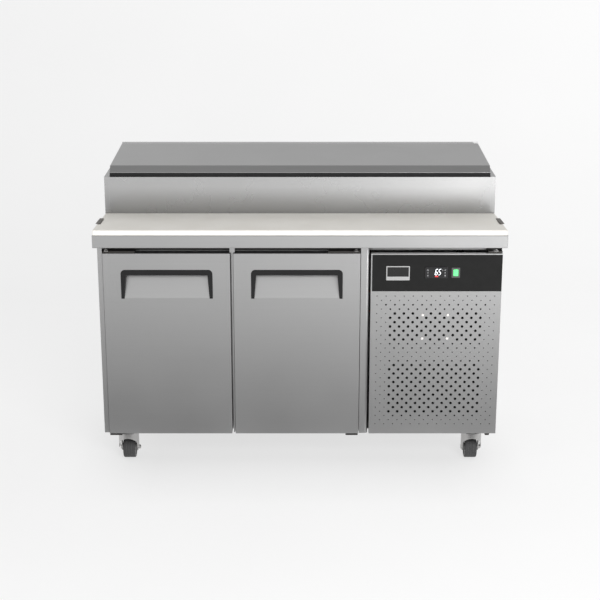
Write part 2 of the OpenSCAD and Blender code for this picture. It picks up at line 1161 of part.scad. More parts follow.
module hinge_bores(px, r) {
    translate([px, y_door + pivot_back, door_top - pin_len]) {
        cylinder(r = r, h = pin_len + 10);
    }
    translate([px, y_door + pivot_back, body_z0 - 10]) {
        cylinder(r = r, h = pin_len + 10);
    }
}

// Steel pan: front sheet, four folded edges and the ramp of the handle recess
module door_skin(x0, x1, side) {
    px = pivot_x(x0, x1, side);
    ramp_low = handle_h - leg_reach;
    ramp_z = ramp_low - handle_bar_h - 2;
    ramp_len = norm([ramp_z, ramp_deep]);
    ramp_half = handle_w / 2 - handle_leg_low - 0.3;
    ramp_half_top = handle_w / 2 - handle_leg_top - 0.3;
    color("silver") {
        swing_door(px, side) {
            union() {
                difference() {
                    slab(x0, x1, y_door, y_door + door_t - 2, body_z0, door_top);
                    slab(
                        x0 + sheet, x1 - sheet, y_door + sheet, y_door + door_t,
                        body_z0 + sheet, door_top - sheet
                    );
                    hinge_bores(px, pin_r + pin_room);
                    at_handle(x0, x1) {
                        upright(y_door - 1, y_door + 5) {
                            difference() {
                                handle_outline();
                                translate([0, -ramp_low - handle_h]) {
                                    square([2 * ramp_half + 0.2, 2 * handle_h], center = true);
                                }
                            }
                        }
                    }
                }
                at_handle(x0, x1) {
                    translate([0, y_door + 0.05, -ramp_low]) {
                        rotate([90 - atan2(ramp_deep, ramp_z), 0, 0]) {
                            translate([0, 0, -1]) {
                                linear_extrude(1) {
                                    polygon([
                                        [-ramp_half, 0],
                                        [ramp_half, 0],
                                        [ramp_half_top, ramp_len],
                                        [-ramp_half_top, ramp_len]
                                    ]);
                                }
                            }
                        }
                    }
                }
            }
        }
    }
}

// Foam-filled inner panel, hollowed behind the handle and drilled for the hinge pins
module door_inner(x0, x1, side) {
    px = pivot_x(x0, x1, side);
    gap = sheet + 0.2;
    color("gainsboro") {
        swing_door(px, side) {
            difference() {
                slab(
                    x0 + gap, x1 - gap, y_door + gap, y_door + door_t,
                    body_z0 + gap, door_top - gap
                );
                hinge_bores(px, pin_r + pin_fit);
                at_handle(x0, x1) {
                    slab(
                        -handle_w / 2 - 0.5, handle_w / 2 + 0.5, y_door, y_door + handle_deep + 1,
                        -handle_h - 2, 0.5
                    );
                }
            }
        }
    }
}

module door_gasket(x0, x1, side) {
    px = pivot_x(x0, x1, side);
    color("dimgray") {
        swing_door(px, side) {
            difference() {
                slab(
                    x0 + seal_inset, x1 - seal_inset, y_door + door_t, y_door + door_t + seal_t,
                    body_z0 + seal_inset, door_top - seal_inset
                );
                slab(
                    x0 + seal_inset + seal_w, x1 - seal_inset - seal_w,
                    y_door, y_door + 2 * door_t,
                    body_z0 + seal_inset + seal_w, door_top - seal_inset - seal_w
                );
            }
        }
    }
}

// Moulded bezel with side cheeks, a grip bar and a finger pocket behind the bar
module door_handle(x0, x1, side) {
    px = pivot_x(x0, x1, side);
    half_top = handle_w / 2 - handle_leg_top;
    back = y_door + handle_deep;
    color("black") {
        swing_door(px, side) {
            at_handle(x0, x1) {
                difference() {
                    upright(y_door - handle_proud, back) {
                        translate([0, 0.2]) {
                            intersection() {
                                handle_outline();
                                translate([0, -handle_h / 2 - 0.1]) {
                                    square([handle_w - 0.4, handle_h - 0.4], center = true);
                                }
                            }
                        }
                    }
                    upright(y_door - 10, back + 1) {
                        grip_outline();
                    }
                    slab(
                        -half_top, half_top, y_door + grip_t, back - pocket_wall,
                        -handle_bar_h - 4, -pocket_wall - 3
                    );
                }
            }
        }
    }
}

// Fixed brackets above and below each hinged panel, each with its pin
module hinge_bracket_top(px, x0, x1, y1) {
    z0 = door_top + plate_gap;
    py = y_door + pivot_back;
    union() {
        slab(x0, x1, py - pin_r - 1, y1, z0, z0 + plate_t);
        slab(x0, x1, y1 - 3, y1, z0, z0 + 30);
        translate([px, py, door_top + 0.3]) {
            cylinder(r = pin_r + 3, h = plate_gap);
        }
        translate([px, py, door_top - pin_len + 1]) {
            cylinder(r = pin_r, h = pin_len + plate_t);
        }
        translate([px, py, z0 + plate_t - 1]) {
            cylinder(r = pin_r + 3, h = 7);
        }
    }
}

module hinge_bracket_low(px, x0, x1, foot_x0, foot_x1) {
    z1 = body_z0 - 1.8;
    py = y_door + pivot_back;
    reach_y = caster_y[0] - caster_plate[1] / 2 - 2;
    union() {
        slab(x0, x1, y_door, reach_y, z1 - plate_t, z1);
        slab(foot_x0, foot_x1, reach_y - 1, y_frame + 60, z1 - plate_t, z1);
        slab(foot_x0, foot_x1, y_frame + 30, y_frame + 60, z1 - 1, body_z0);
        translate([px, py, z1 - 1]) {
            cylinder(r = pin_r + 3, h = body_z0 - z1 + 0.7);
        }
        translate([px, py, z1 - plate_t]) {
            cylinder(r = pin_r, h = pin_len + plate_t + body_z0 - z1 - 1);
        }
    }
}

module door_hinges() {
    left = pivot_x(door_a_x0, door_a_x1, -1);
    right = pivot_x(door_b_x0, door_b_x1, 1);
    panel = panel_x1 - panel_pivot_in;
    clear_x = caster_x + caster_plate[0] / 2 + 2;
    color("dimgray") {
        hinge_bracket_top(left, left - bracket_end, left + bracket_l - bracket_end, y_frame);
        hinge_bracket_top(right, right - bracket_l + bracket_end, right + bracket_end, y_frame);
        hinge_bracket_top(panel, panel - 22, panel + 26, y_frame);
        hinge_bracket_low(left, left - bracket_end, left + 30, left - bracket_end, -clear_x);
        hinge_bracket_low(right, right - 30, right + bracket_end, right - 20, right + 2);
        hinge_bracket_low(panel, panel - 9, panel + 5, clear_x, panel + 5);
    }
}

module door_left_skin() {
    door_skin(door_a_x0, door_a_x1, -1);
}

module door_left_inner() {
    door_inner(door_a_x0, door_a_x1, -1);
}

module door_left_gasket() {
    door_gasket(door_a_x0, door_a_x1, -1);
}

module door_left_handle() {
    door_handle(door_a_x0, door_a_x1, -1);
}

module door_right_skin() {
    door_skin(door_b_x0, door_b_x1, 1);
}

module door_right_inner() {
    door_inner(door_b_x0, door_b_x1, 1);
}

module door_right_gasket() {
    door_gasket(door_b_x0, door_b_x1, 1);
}

module door_right_handle() {
    door_handle(door_b_x0, door_b_x1, 1);
}

// ---- Service panel and controls ----

// Large holes fill two fields, with a fringe of medium holes and small ones outside
function perf_edge(j) = j == 2 ? 2 : 3;

function perf_size(i, j) =
    i < perf_edge(j) || i > perf_last - perf_edge(j) ? perf_small_d
    : (j >= 4 && j <= 10) || (j >= 16 && j <= 27) ? perf_d
    : j == 2 || j == 3 || j == 11 || j == 12 || j == 15 || j == 28 ? perf_d * 0.64
    : perf_small_d;

function near_screw(x, z) =
    min([for (sx = screw_x, sz = screw_z) norm([x - sx, z - sz])]) < 11;

module perforations() {
    for (j = [0 : perf_rows - 1], i = [j % 2 : 2 : perf_last]) {
        x = perf_x0 + i * perf_step;
        z = perf_z0 - j * perf_step;
        if (!near_screw(x, z)) {
            translate([x, z]) {
                circle(d = perf_size(i, j));
            }
        }
    }
}

module service_panel() {
    panel_px = panel_x1 - panel_pivot_in;
    color("silver") {
        union() {
            difference() {
                slab(
                    panel_x0, panel_x1, y_door + sheet, y_door + panel_fold, body_z0, door_top
                );
                slab(
                    panel_x0 + sheet, panel_x1 - sheet, y_door, y_door + panel_fold + 1,
                    body_z0 + sheet, door_top - sheet
                );
                hinge_bores(panel_px, pin_r + pin_room);
            }
            upright(y_door, y_door + sheet + eps) {
                difference() {
                    translate([panel_x0, body_z0]) {
                        square([panel_x1 - panel_x0, door_top - body_z0]);
                    }
                    perforations();
                    translate([thermo_x, controls_z]) {
                        square([thermo_size[0] - 5, thermo_size[1] - 5], center = true);
                    }
                    translate([switch_x, controls_z]) {
                        square([switch_size[0] - 4, switch_size[1] - 1], center = true);
                    }
                    for (sx = screw_x, sz = screw_z) {
                        translate([sx, sz]) {
                            circle(2.6);
                        }
                    }
                }
            }
            for (z = [door_top - pin_len, body_z0]) {
                difference() {
                    slab(
                        panel_px - 9, panel_px + 9, y_door + 0.5, y_door + panel_fold - 4,
                        z + 0.2, z + pin_len - 0.2
                    );
                    hinge_bores(panel_px, pin_r + pin_fit);
                }
            }
        }
    }
}

module control_strip() {
    color([0.21, 0.21, 0.21]) {
        upright(y_door - strip_t, y_door) {
            difference() {
                translate([panel_x0 + panel_edge, strip_z0]) {
                    square([panel_x1 - panel_x0 - panel_edge - 1, strip_h]);
                }
                translate([thermo_x, controls_z]) {
                    square([thermo_size[0] - 5, thermo_size[1] - 5], center = true);
                }
                translate([switch_x, controls_z]) {
                    square([switch_size[0] - 4, switch_size[1] - 1], center = true);
                }
            }
        }
    }
}

// A blank plate with a raised border
module badge_plate() {
    y1 = y_door - strip_t;
    color("gray") {
        translate([badge_x, 0, badge_z]) {
            difference() {
                upright(y1 - 1.4, y1) {
                    rounded_rect(badge_size, 1.5);
                }
                upright(y1 - 2, y1 - 0.8) {
                    square([badge_size[0] - 4, badge_size[1] - 4], center = true);
                }
            }
        }
    }
}

module key_holes(grow) {
    for (sx = [-1, 1], sz = [-1, 1]) {
        translate([sx * key_dx, sz * key_dz]) {
            square([key_size[0] + grow, key_size[1] + grow], center = true);
        }
    }
}

module thermostat() {
    y1 = y_door - strip_t;
    color([0.12, 0.12, 0.12]) {
        translate([thermo_x, 0, controls_z]) {
            difference() {
                union() {
                    upright(y1 - 3, y1) {
                        rounded_rect(thermo_size, 4);
                    }
                    upright(y1 - 0.1, y1 + thermo_deep) {
                        square([thermo_size[0] - 6, thermo_size[1] - 6], center = true);
                    }
                }
                upright(y1 - 4, y1 + 1) {
                    key_holes(0.4);
                }
                upright(y1 - 4, y1 - 2.4) {
                    square(display_size, center = true);
                }
            }
        }
    }
}

module key(sx, sz) {
    y1 = y_door - strip_t;
    color("gray") {
        translate([thermo_x + sx * key_dx, 0, controls_z + sz * key_dz]) {
            upright(y1 - 3.6, y1 - 0.2) {
                rounded_rect(key_size, 1.2);
            }
        }
    }
}

module key_set() {
    key(-1, 1);
}

module key_defrost() {
    key(-1, -1);
}

module key_up() {
    key(1, 1);
}

module key_down() {
    key(1, -1);
}

module switch_bezel() {
    y1 = y_door - strip_t;
    color([0.3, 0.3, 0.3]) {
        translate([switch_x, 0, controls_z]) {
            difference() {
                union() {
                    upright(y1 - 2, y1) {
                        rounded_rect(switch_size, 2);
                    }
                    upright(y1 - 0.1, y1 + 22) {
                        square([switch_size[0] - 5, switch_size[1] - 2], center = true);
                    }
                }
                upright(y1 - 3, y1 + 12) {
                    square([rocker_size[0] + 1, rocker_size[1] + 1], center = true);
                }
                rocker_pin(rocker_pin_r + pin_fit, rocker_pin_l + 0.6);
            }
        }
    }
}

module rocker_pin(r, l) {
    translate([0, rocker_pivot, 0]) {
        rotate([0, 90, 0]) {
            cylinder(r = r, h = l, center = true);
        }
    }
}

// The rocker is drawn pressed in at its upper half; it tips about its pin, along X
module power_rocker() {
    half = rocker_size[1] / 2;
    color("limegreen") {
        translate([switch_x, 0, controls_z]) {
            union() {
                rocker_pin(rocker_pin_r, rocker_pin_l);
                translate([0, rocker_pivot, 0]) {
                    rotate([-rocker_tilt, 0, 0]) {
                        along_x(-rocker_size[0] / 2, rocker_size[0] / 2) {
                            polygon([
                                [-3.5, -half], [-4.1, 0], [-3.5, half],
                                [3, 7], [4, 0], [3, -7]
                            ]);
                        }
                    }
                }
            }
        }
    }
}

module panel_screws() {
    color("white") {
        for (sx = screw_x, sz = screw_z) {
            translate([sx, y_door, sz]) {
                rotate([90, 0, 0]) {
                    union() {
                        cylinder(r = 5, h = 1.2);
                        translate([0, 0, 1.1]) {
                            cylinder(r = 3.4, h = 1.2);
                        }
                        translate([0, 0, -12]) {
                            cylinder(r = 2.5, h = 12.1);
                        }
                        translate([0, 0, -5.4]) {
                            cylinder(r = 4.6, h = 4, $fn = 6);
                        }
                    }
                }
            }
        }
    }
}

// ---- Casters ----

module caster_mount() {
    z1 = body_z0;
    z0 = z1 - caster_plate_t;
    pin_low = cup_top - 5 - 4.2;
    union() {
        slab(
            -caster_plate[0] / 2, caster_plate[0] / 2, -caster_plate[1] / 2, caster_plate[1] / 2,
            z0, z1
        );
        translate([0, 0, z0 - race_h]) {
            cylinder(r = race_r, h = race_h + 0.1);
        }
        translate([0, 0, pin_low]) {
            cylinder(r = 6, h = z0 - pin_low);
        }
        translate([0, 0, pin_low]) {
            cylinder(r = 11, h = 3.8);
        }
        for (sx = [-1, 1], sy = [-1, 1]) {
            translate([sx * 31, sy * 23.5, z0 - 3.5]) {
                cylinder(r = 5.5, h = 3.6, $fn = 6);
            }
        }
    }
}

module caster_plates() {
    color("silver") {
        for (x = [-caster_x, caster_x], y = caster_y) {
            translate([x, y, 0]) {
                caster_mount();
            }
        }
    }
}

module leg_profile() {
    union() {
        polygon([
            [4, cup_top - 2], [20, cup_top - 2],
            [caster_trail + 11, wheel_r + 4], [caster_trail - 11, wheel_r - 4],
            [4, wheel_r + 26]
        ]);
        translate([caster_trail, wheel_r]) {
            circle(12);
        }
    }
}

// A round cup with an arched front, open at the back, and two flat legs to the axle
module fork(x, y) {
    color("silver") {
        translate([x, y, 0]) {
            difference() {
                union() {
                    difference() {
                        translate([0, 0, cup_low]) {
                            cylinder(r = cup_r, h = cup_top - cup_low);
                        }
                        translate([0, 0, cup_low - 1]) {
                            cylinder(r = cup_r - cup_t, h = cup_top - cup_low - 4);
                        }
                        slab(
                            -cup_r - 1, cup_r + 1, 6, cup_r + 1, cup_low - 1, cup_top - 8
                        );
                        translate([0, 0, cup_low + arch_lift]) {
                            rotate([90, 0, 0]) {
                                cylinder(r = arch_r, h = 2 * cup_r, $fn = 64);
                            }
                        }
                    }
                    for (lx = [-leg_x - leg_t, leg_x]) {
                        along_x(lx, lx + leg_t) {
                            leg_profile();
                        }
                    }
                    translate([-leg_x - leg_t - 3, caster_trail, wheel_r]) {
                        rotate([0, 90, 0]) {
                            cylinder(r = axle_r, h = 2 * leg_x + 2 * leg_t + 12);
                        }
                    }
                    translate([leg_x + leg_t, caster_trail, wheel_r]) {
                        rotate([0, 90, 0]) {
                            cylinder(r = 8, h = 7, $fn = 6);
                        }
                    }
                    translate([-leg_x - leg_t - 4, caster_trail, wheel_r]) {
                        rotate([0, 90, 0]) {
                            cylinder(r = 8, h = 4.1);
                        }
                    }
                }
                translate([0, 0, cup_top - 20]) {
                    cylinder(r = 6 + pin_fit, h = 30);
                }
            }
        }
    }
}

module wheel(x, y) {
    edge = 4;
    half = wheel_w / 2;
    color([0.16, 0.16, 0.16]) {
        translate([x, y + caster_trail, wheel_r]) {
            rotate([0, 90, 0]) {
                rotate_extrude($fn = 96) {
                    polygon([
                        [axle_r + pin_fit, -leg_x + 0.6],
                        [hub_r, -leg_x + 0.6],
                        [hub_r, -half + 3],
                        [wheel_r - 9, -half + 3],
                        [wheel_r - 8, -half],
                        [wheel_r - edge / 2, -half],
                        [wheel_r, -half + edge],
                        [wheel_r, half - edge],
                        [wheel_r - edge / 2, half],
                        [wheel_r - 8, half],
                        [wheel_r - 9, half - 3],
                        [hub_r, half - 3],
                        [hub_r, leg_x - 0.6],
                        [axle_r + pin_fit, leg_x - 0.6]
                    ]);
                }
            }
        }
    }
}

// The brake lever lies down on the wheel and turns up about a pin through the legs
module brake_pedal(x, y) {
    color("dimgray") {
        translate([x, y, 0]) {
            union() {
                along_x(-20, 20) {
                    polygon([
                        [11, 85], [16, 89], [62, 76], [78, 78], [79, 74.5], [60, 70.5],
                        [34, 77.5], [30, 76.2], [22, 76.2], [14, 80]
                    ]);
                }
                translate([-leg_x + 0.4, 14, 84]) {
                    rotate([0, 90, 0]) {
                        cylinder(r = 4, h = 2 * leg_x - 0.8);
                    }
                }
            }
        }
    }
}

module fork_front_left() {
    fork(-caster_x, caster_y[0]);
}

module fork_front_right() {
    fork(caster_x, caster_y[0]);
}

module fork_rear_left() {
    fork(-caster_x, caster_y[1]);
}

module fork_rear_right() {
    fork(caster_x, caster_y[1]);
}

module wheel_front_left() {
    wheel(-caster_x, caster_y[0]);
}

module wheel_front_right() {
    wheel(caster_x, caster_y[0]);
}

module wheel_rear_left() {
    wheel(-caster_x, caster_y[1]);
}

module wheel_rear_right() {
    wheel(caster_x, caster_y[1]);
}

module pedal_front_left() {
    brake_pedal(-caster_x, caster_y[0]);
}

module pedal_front_right() {
    brake_pedal(caster_x, caster_y[0]);
}

side_panel_left();
side_panel_right();
back_panel();
base_pan();
front_frame();
cabinet_liner();
cabinet_foam();
shelves();
shelf_supports();
evaporator();
evaporator_fan();
machine_tray();
compressor();
condenser();
fan_shroud();
condenser_fan();
refrigerant_pipes();
cable_gland();
worktop();
cutting_board();
board_clips();
hood_shell();
pan_well();
food_pans();
lid_shell();
lid_liner();
lid_gasket();
lid_hinge_leaves();
lid_hinges();
door_hinges();
door_left_skin();
door_left_inner();
door_left_gasket();
door_left_handle();
door_right_skin();
door_right_inner();
door_right_gasket();
door_right_handle();
service_panel();
control_strip();
badge_plate();
thermostat();
switch_bezel();
power_rocker();
key_set();
key_down();
key_up();
key_defrost();
panel_screws();
caster_plates();
fork_front_left();
fork_front_right();
fork_rear_left();
fork_rear_right();
wheel_front_left();
wheel_front_right();
wheel_rear_left();
wheel_rear_right();
pedal_front_left();
pedal_front_right();
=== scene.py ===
"""Looks of the refrigerated sandwich prep table: materials, formed details, studio and camera.

All lengths are in metres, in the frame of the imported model: +X right, +Y back, +Z up.
"""

import json
import math

import bmesh
import bpy
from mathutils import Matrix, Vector


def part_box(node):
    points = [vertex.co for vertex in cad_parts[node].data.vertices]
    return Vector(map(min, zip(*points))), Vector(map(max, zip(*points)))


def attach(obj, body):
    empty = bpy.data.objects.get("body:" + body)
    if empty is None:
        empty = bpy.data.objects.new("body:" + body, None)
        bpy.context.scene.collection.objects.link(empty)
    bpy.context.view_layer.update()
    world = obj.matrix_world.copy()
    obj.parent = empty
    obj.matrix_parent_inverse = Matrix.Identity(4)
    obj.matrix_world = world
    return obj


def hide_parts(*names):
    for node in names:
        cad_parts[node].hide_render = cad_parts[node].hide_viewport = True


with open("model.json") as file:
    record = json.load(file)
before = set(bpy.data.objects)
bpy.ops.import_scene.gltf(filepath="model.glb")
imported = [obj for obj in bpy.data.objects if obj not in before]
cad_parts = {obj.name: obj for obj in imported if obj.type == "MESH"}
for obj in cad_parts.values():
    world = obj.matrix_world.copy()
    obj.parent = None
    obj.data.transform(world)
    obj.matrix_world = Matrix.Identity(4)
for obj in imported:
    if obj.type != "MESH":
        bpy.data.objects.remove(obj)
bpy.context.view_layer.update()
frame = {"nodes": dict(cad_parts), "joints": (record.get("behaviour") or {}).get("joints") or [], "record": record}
nodes = frame["nodes"]
MM = 0.001


# ---- Shader helpers ----

class Shader:
    """A node material that is built up call by call."""

    def __init__(self, name, **settings):
        self.material = bpy.data.materials.new(name)
        self.material.use_nodes = True
        self.tree = self.material.node_tree
        self.bsdf = self.tree.nodes["Principled BSDF"]
        self.set(self.bsdf, **settings)
        self.place = self.tree.nodes.new("ShaderNodeTexCoord").outputs["Object"]

    @staticmethod
    def set(node, **settings):
        for key, value in settings.items():
            node.inputs[key.replace("_", " ")].default_value = value

    def link(self, output, node, socket):
        self.tree.links.new(output, node.inputs[socket])

    def scaled(self, scale):
        node = self.tree.nodes.new("ShaderNodeMapping")
        node.inputs["Scale"].default_value = scale
        self.link(self.place, node, "Vector")
        return node.outputs["Vector"]

    def noise(self, scale, stretch=(1, 1, 1), detail=3.0, rough=0.55):
        node = self.tree.nodes.new("ShaderNodeTexNoise")
        self.set(node, Scale=scale, Detail=detail, Roughness=rough)
        self.link(self.scaled(stretch), node, "Vector")
        return node.outputs["Fac"]

    def ramp(self, value, low, high, start=0.3, end=0.7):
        """Maps value from start..end onto low..high, which are numbers or colours."""
        colour = isinstance(low, tuple)
        if colour:
            node = self.tree.nodes.new("ShaderNodeValToRGB")
            node.color_ramp.elements[0].position = start
            node.color_ramp.elements[1].position = end
            node.color_ramp.elements[0].color = (*low, 1)
            node.color_ramp.elements[1].color = (*high, 1)
            self.link(value, node, "Fac")
            return node.outputs["Color"]
        node = self.tree.nodes.new("ShaderNodeMapRange")
        node.inputs["From Min"].default_value = start
        node.inputs["From Max"].default_value = end
        node.inputs["To Min"].default_value = low
        node.inputs["To Max"].default_value = high
        self.link(value, node, "Value")
        return node.outputs["Result"]

    def edges(self, radius):
        """0 on flat faces, up to 1 along sharp edges."""
        bevel = self.tree.nodes.new("ShaderNodeBevel")
        bevel.samples = 4
        bevel.inputs["Radius"].default_value = radius
        geometry = self.tree.nodes.new("ShaderNodeNewGeometry")
        dot = self.tree.nodes.new("ShaderNodeVectorMath")
        dot.operation = "DOT_PRODUCT"
        self.link(bevel.outputs["Normal"], dot, 0)
        self.link(geometry.outputs["Normal"], dot, 1)
        return self.ramp(dot.outputs["Value"], 1.0, 0.0, 0.7, 0.99)

    def mix(self, factor, a, b):
        node = self.tree.nodes.new("ShaderNodeMix")
        node.data_type = "RGBA"
        self.link(factor, node, 0)
        for socket, value in ((6, a), (7, b)):
            if isinstance(value, tuple):
                node.inputs[socket].default_value = (*value, 1)
            else:
                self.link(value, node, socket)
        return node.outputs[2]

    def axis(self, name):
        """One coordinate of the place on the object."""
        split = self.tree.nodes.new("ShaderNodeSeparateXYZ")
        self.link(self.place, split, "Vector")
        return split.outputs[name]

    def math(self, operation, *values):
        node = self.tree.nodes.new("ShaderNodeMath")
        node.operation = operation
        for i, value in enumerate(values):
            if isinstance(value, float):
                node.inputs[i].default_value = value
            else:
                self.link(value, node, i)
        return node.outputs[0]

    def bump(self, height, strength, distance):
        node = self.tree.nodes.new("ShaderNodeBump")
        self.set(node, Strength=strength, Distance=distance)
        self.link(height, node, "Height")
        self.link(node.outputs["Normal"], self.bsdf, "Normal")

    def colour(self, output):
        self.link(output, self.bsdf, "Base Color")

    def roughness(self, output):
        self.link(output, self.bsdf, "Roughness")


def grey(value, warm=0.0):
    return (value * (1 + warm), value, value * (1 - warm))


def brushed(name, tone, rough, along="X", warm=0.0, grain=0.04, painted_shade=None):
    """Brushed sheet steel: long fine scratches along one axis, soft stains, brighter folds.

    The last argument is (axis, place, near, far, share), a painted shade: within near of that place the
    steel is darkened to a share of its tone, and beyond far it is left as it is.
    """
    s = Shader(name, Metallic=1.0)
    fine, coarse = (3, 1400), (1.2, 260)
    axis = "XYZ".index(along)
    stretch = [tuple(a if i == axis else b for i in range(3)) for a, b in (fine, coarse)]
    scratches = s.noise(1.0, stretch[0], detail=4.0)
    bands = s.noise(1.0, stretch[1], detail=2.0)
    stains = s.noise(3.2, detail=4.0)
    low, high = tone * (1 - grain), tone * (1 + grain)
    body = s.mix(scratches, grey(low, warm), grey(high, warm))
    body = s.mix(s.ramp(bands, 0.0, 0.16), body, grey(tone * 1.06, warm))
    body = s.mix(s.ramp(stains, 0.0, 0.10, 0.45, 0.75), body, grey(tone * 0.9, warm))
    # Painted shade: the steel darkens near one place along one axis
    if painted_shade:
        shade_axis, centre, near, far, share = painted_shade
        away = s.math("ABSOLUTE", s.math("SUBTRACT", s.axis(shade_axis), centre))
        body = s.mix(s.ramp(away, 0.0, 1.0, near, far), grey(tone * share, warm), body)
    s.colour(s.mix(s.edges(0.0012), body, grey(min(tone * 1.25, 0.95), warm)))
    s.roughness(s.ramp(stains, rough - 0.04, rough + 0.05, 0.25, 0.75))
    s.bump(scratches, 0.10, 0.00006)
    return s.material


def plain_metal(name, base, rough, spangle=0.0):
    """Plated, cast or galvanised metal with mottled brightness."""
    s = Shader(name, Metallic=1.0)
    dark = tuple(c * (1 - 0.12 - spangle) for c in base)
    mottle = s.noise(60, detail=5.0)
    if spangle:
        cells = s.tree.nodes.new("ShaderNodeTexVoronoi")
        s.set(cells, Scale=70.0)
        s.link(s.scaled((1, 1, 1)), cells, "Vector")
        mottle = s.ramp(cells.outputs["Color"], 0.0, 1.0, 0.1, 0.9)
    body = s.mix(mottle, dark, base)
    s.colour(s.mix(s.edges(0.0008), body, tuple(min(c * 1.3, 0.95) for c in base)))
    s.roughness(s.ramp(s.noise(25, detail=4.0), rough - 0.06, rough + 0.08))
    s.bump(s.noise(420, detail=2.0), 0.12, 0.0001)
    return s.material


def moulded(name, colour, rough, wear=0.12, texture=900, depth=0.00008, coat=0.0, shine=0.5):
    """Moulded plastic or rubber: a fine spark-eroded texture with paler worn edges."""
    s = Shader(name, Coat_Weight=coat, Specular_IOR_Level=shine)
    dark = tuple(c * 0.86 for c in colour)
    worn = tuple(c + wear * (0.55 - c) for c in colour)
    body = s.mix(s.ramp(s.noise(14, detail=5.0), 0.0, 1.0), dark, colour)
    s.colour(s.mix(s.edges(0.0009), body, worn))
    s.roughness(s.ramp(s.noise(40, detail=3.0), rough - 0.05, rough + 0.07))
    s.bump(s.noise(texture, detail=2.0), 0.25, depth)
    return s.material


def board_plastic():
    """Polyethylene board: warm white, faintly cloudy, with fine crossing knife marks."""
    s = Shader("board_plastic", IOR=1.5)
    cloud = s.noise(7, detail=4.0)
    body = s.ramp(cloud, (0.80, 0.775, 0.72), (0.85, 0.83, 0.785))
    marks = [s.noise(1.0, stretch, detail=3.0) for stretch in ((18, 900, 1), (700, 30, 1))]
    cut = s.math(
        "MULTIPLY", s.ramp(marks[0], 0.0, 1.0, 0.62, 0.72), s.ramp(marks[1], 0.0, 1.0, 0.35, 0.55)
    )
    s.colour(s.mix(s.ramp(cut, 0.0, 0.18, 0.0, 1.0), body, (0.70, 0.68, 0.63)))
    s.roughness(s.ramp(cloud, 0.46, 0.58))
    s.bump(cut, 0.3, 0.0002)
    return s.material


def foam():
    s = Shader("foam", Roughness=0.9)
    pores = s.noise(500, detail=2.0)
    s.colour(s.ramp(pores, (0.52, 0.42, 0.20), (0.68, 0.57, 0.30)))
    s.bump(pores, 0.5, 0.0006)
    return s.material


def glowing(name, colour, strength, soft=0.0):
    """A lit part: its glow varies a little over the surface."""
    s = Shader(name, Emission_Strength=strength, Roughness=0.35)
    dim = tuple(c * (1 - soft) for c in colour)
    lit = s.ramp(s.noise(180, detail=2.0), dim, colour, 0.25, 0.75)
    s.colour(lit)
    s.link(lit, s.bsdf, "Emission Color")
    return s.material


STEEL_TONE = 0.52
# Painted shade on steel; each is (axis, place, near, far, share), as brushed() takes it
# The hood's front darkens towards its foot by the board: painted shade
HOOD_FOOT_PAINTED_SHADE = ("Z", 0.843, 0.012, 0.112, 0.62)
# The mullion's rounded right edge darkens beside the service panel gap: painted shade
MULLION_EDGE_SHADE = ("X", 0.236, 0.0, 0.012, 0.4)

finishes = {
    "stainless": brushed("stainless", STEEL_TONE, 0.36),
    "hood_steel": brushed("hood_steel", STEEL_TONE, 0.26, painted_shade=HOOD_FOOT_PAINTED_SHADE),
    "stainless_upright": brushed("stainless_upright", STEEL_TONE, 0.36, along="Z"),
    "frame_steel": brushed(
        "frame_steel", STEEL_TONE, 0.36, along="Z", painted_shade=MULLION_EDGE_SHADE
    ),
    "galvanised": plain_metal("galvanised", grey(0.42), 0.5, spangle=0.04),
    "liner_steel": brushed("liner_steel", 0.6, 0.32, along="X", grain=0.03),
    "foam": foam(),
    "coated_wire": moulded("coated_wire", (0.80, 0.80, 0.78), 0.35, wear=0.0, coat=0.3),
    "black_plastic": moulded("black_plastic", (0.013, 0.013, 0.0135), 0.55, shine=0.3),
    "black_enamel": moulded("black_enamel", (0.022, 0.022, 0.023), 0.3, coat=0.4, texture=300),
    "copper": plain_metal("copper", (0.78, 0.38, 0.24), 0.3),
    "board_plastic": board_plastic(),
    "zinc": plain_metal("zinc", grey(0.5, 0.01), 0.3),
    "clip_zinc": plain_metal("clip_zinc", grey(0.22, 0.06), 0.5),
    "dark_zinc": plain_metal("dark_zinc", grey(0.09, 0.04), 0.35),
    "pan_steel": brushed("pan_steel", 0.58, 0.25, along="Y", grain=0.03),
    "gasket_rubber": moulded("gasket_rubber", (0.014, 0.014, 0.0145), 0.7, wear=0.02, shine=0.35),
    "strip_black": moulded("strip_black", (0.009, 0.009, 0.009), 0.55, wear=0.08, shine=0.3),
    "badge_metal": brushed("badge_metal", 0.62, 0.3, grain=0.06),
    "badge_field": moulded("badge_field", (0.006, 0.006, 0.006), 0.3, wear=0.0),
    "display_black": moulded("display_black", (0.008, 0.008, 0.009), 0.22, wear=0.1, texture=300),
    "bezel_grey": moulded("bezel_grey", (0.085, 0.085, 0.085), 0.4),
    "rocker_green": glowing("rocker_green", (0.13, 0.80, 0.25), 0.75, soft=0.25),
    "key_grey": moulded("key_grey", (0.05, 0.05, 0.052), 0.5),
    "wheel_rubber": moulded("wheel_rubber", (0.045, 0.045, 0.046), 0.62, wear=0.16, texture=500),
    "wheel_core": moulded("wheel_core", (0.13, 0.13, 0.13), 0.45),
    "digit_glow": glowing("digit_glow", (0.92, 0.95, 1.0), 1.1, soft=0.1),
    "icon_glow": glowing("icon_glow", (0.55, 0.55, 0.56), 0.35, soft=0.2),
    # Black foam; its black also stands for the shade behind the perforations: painted shade
    "filter_shade_foam": moulded("filter_shade_foam", (0.006, 0.006, 0.006), 0.9, wear=0.0, depth=0.0006),
    "trim_black": moulded("trim_black", (0.045, 0.045, 0.045), 0.6, wear=0.05),
    "trim_grey": moulded("trim_grey", (0.10, 0.10, 0.10), 0.55, wear=0.05),
    "red_glow": glowing("red_glow", (0.85, 0.05, 0.05), 0.9, soft=0.3),
    # Near-white: a painted glint for bright metal screw heads
    "screw_painted_glint": moulded("screw_painted_glint", (0.90, 0.87, 0.84), 0.3, wear=0.0, coat=0.4),
}


def paint(obj, finish):
    obj.data.materials.clear()
    obj.data.materials.append(finishes[finish])


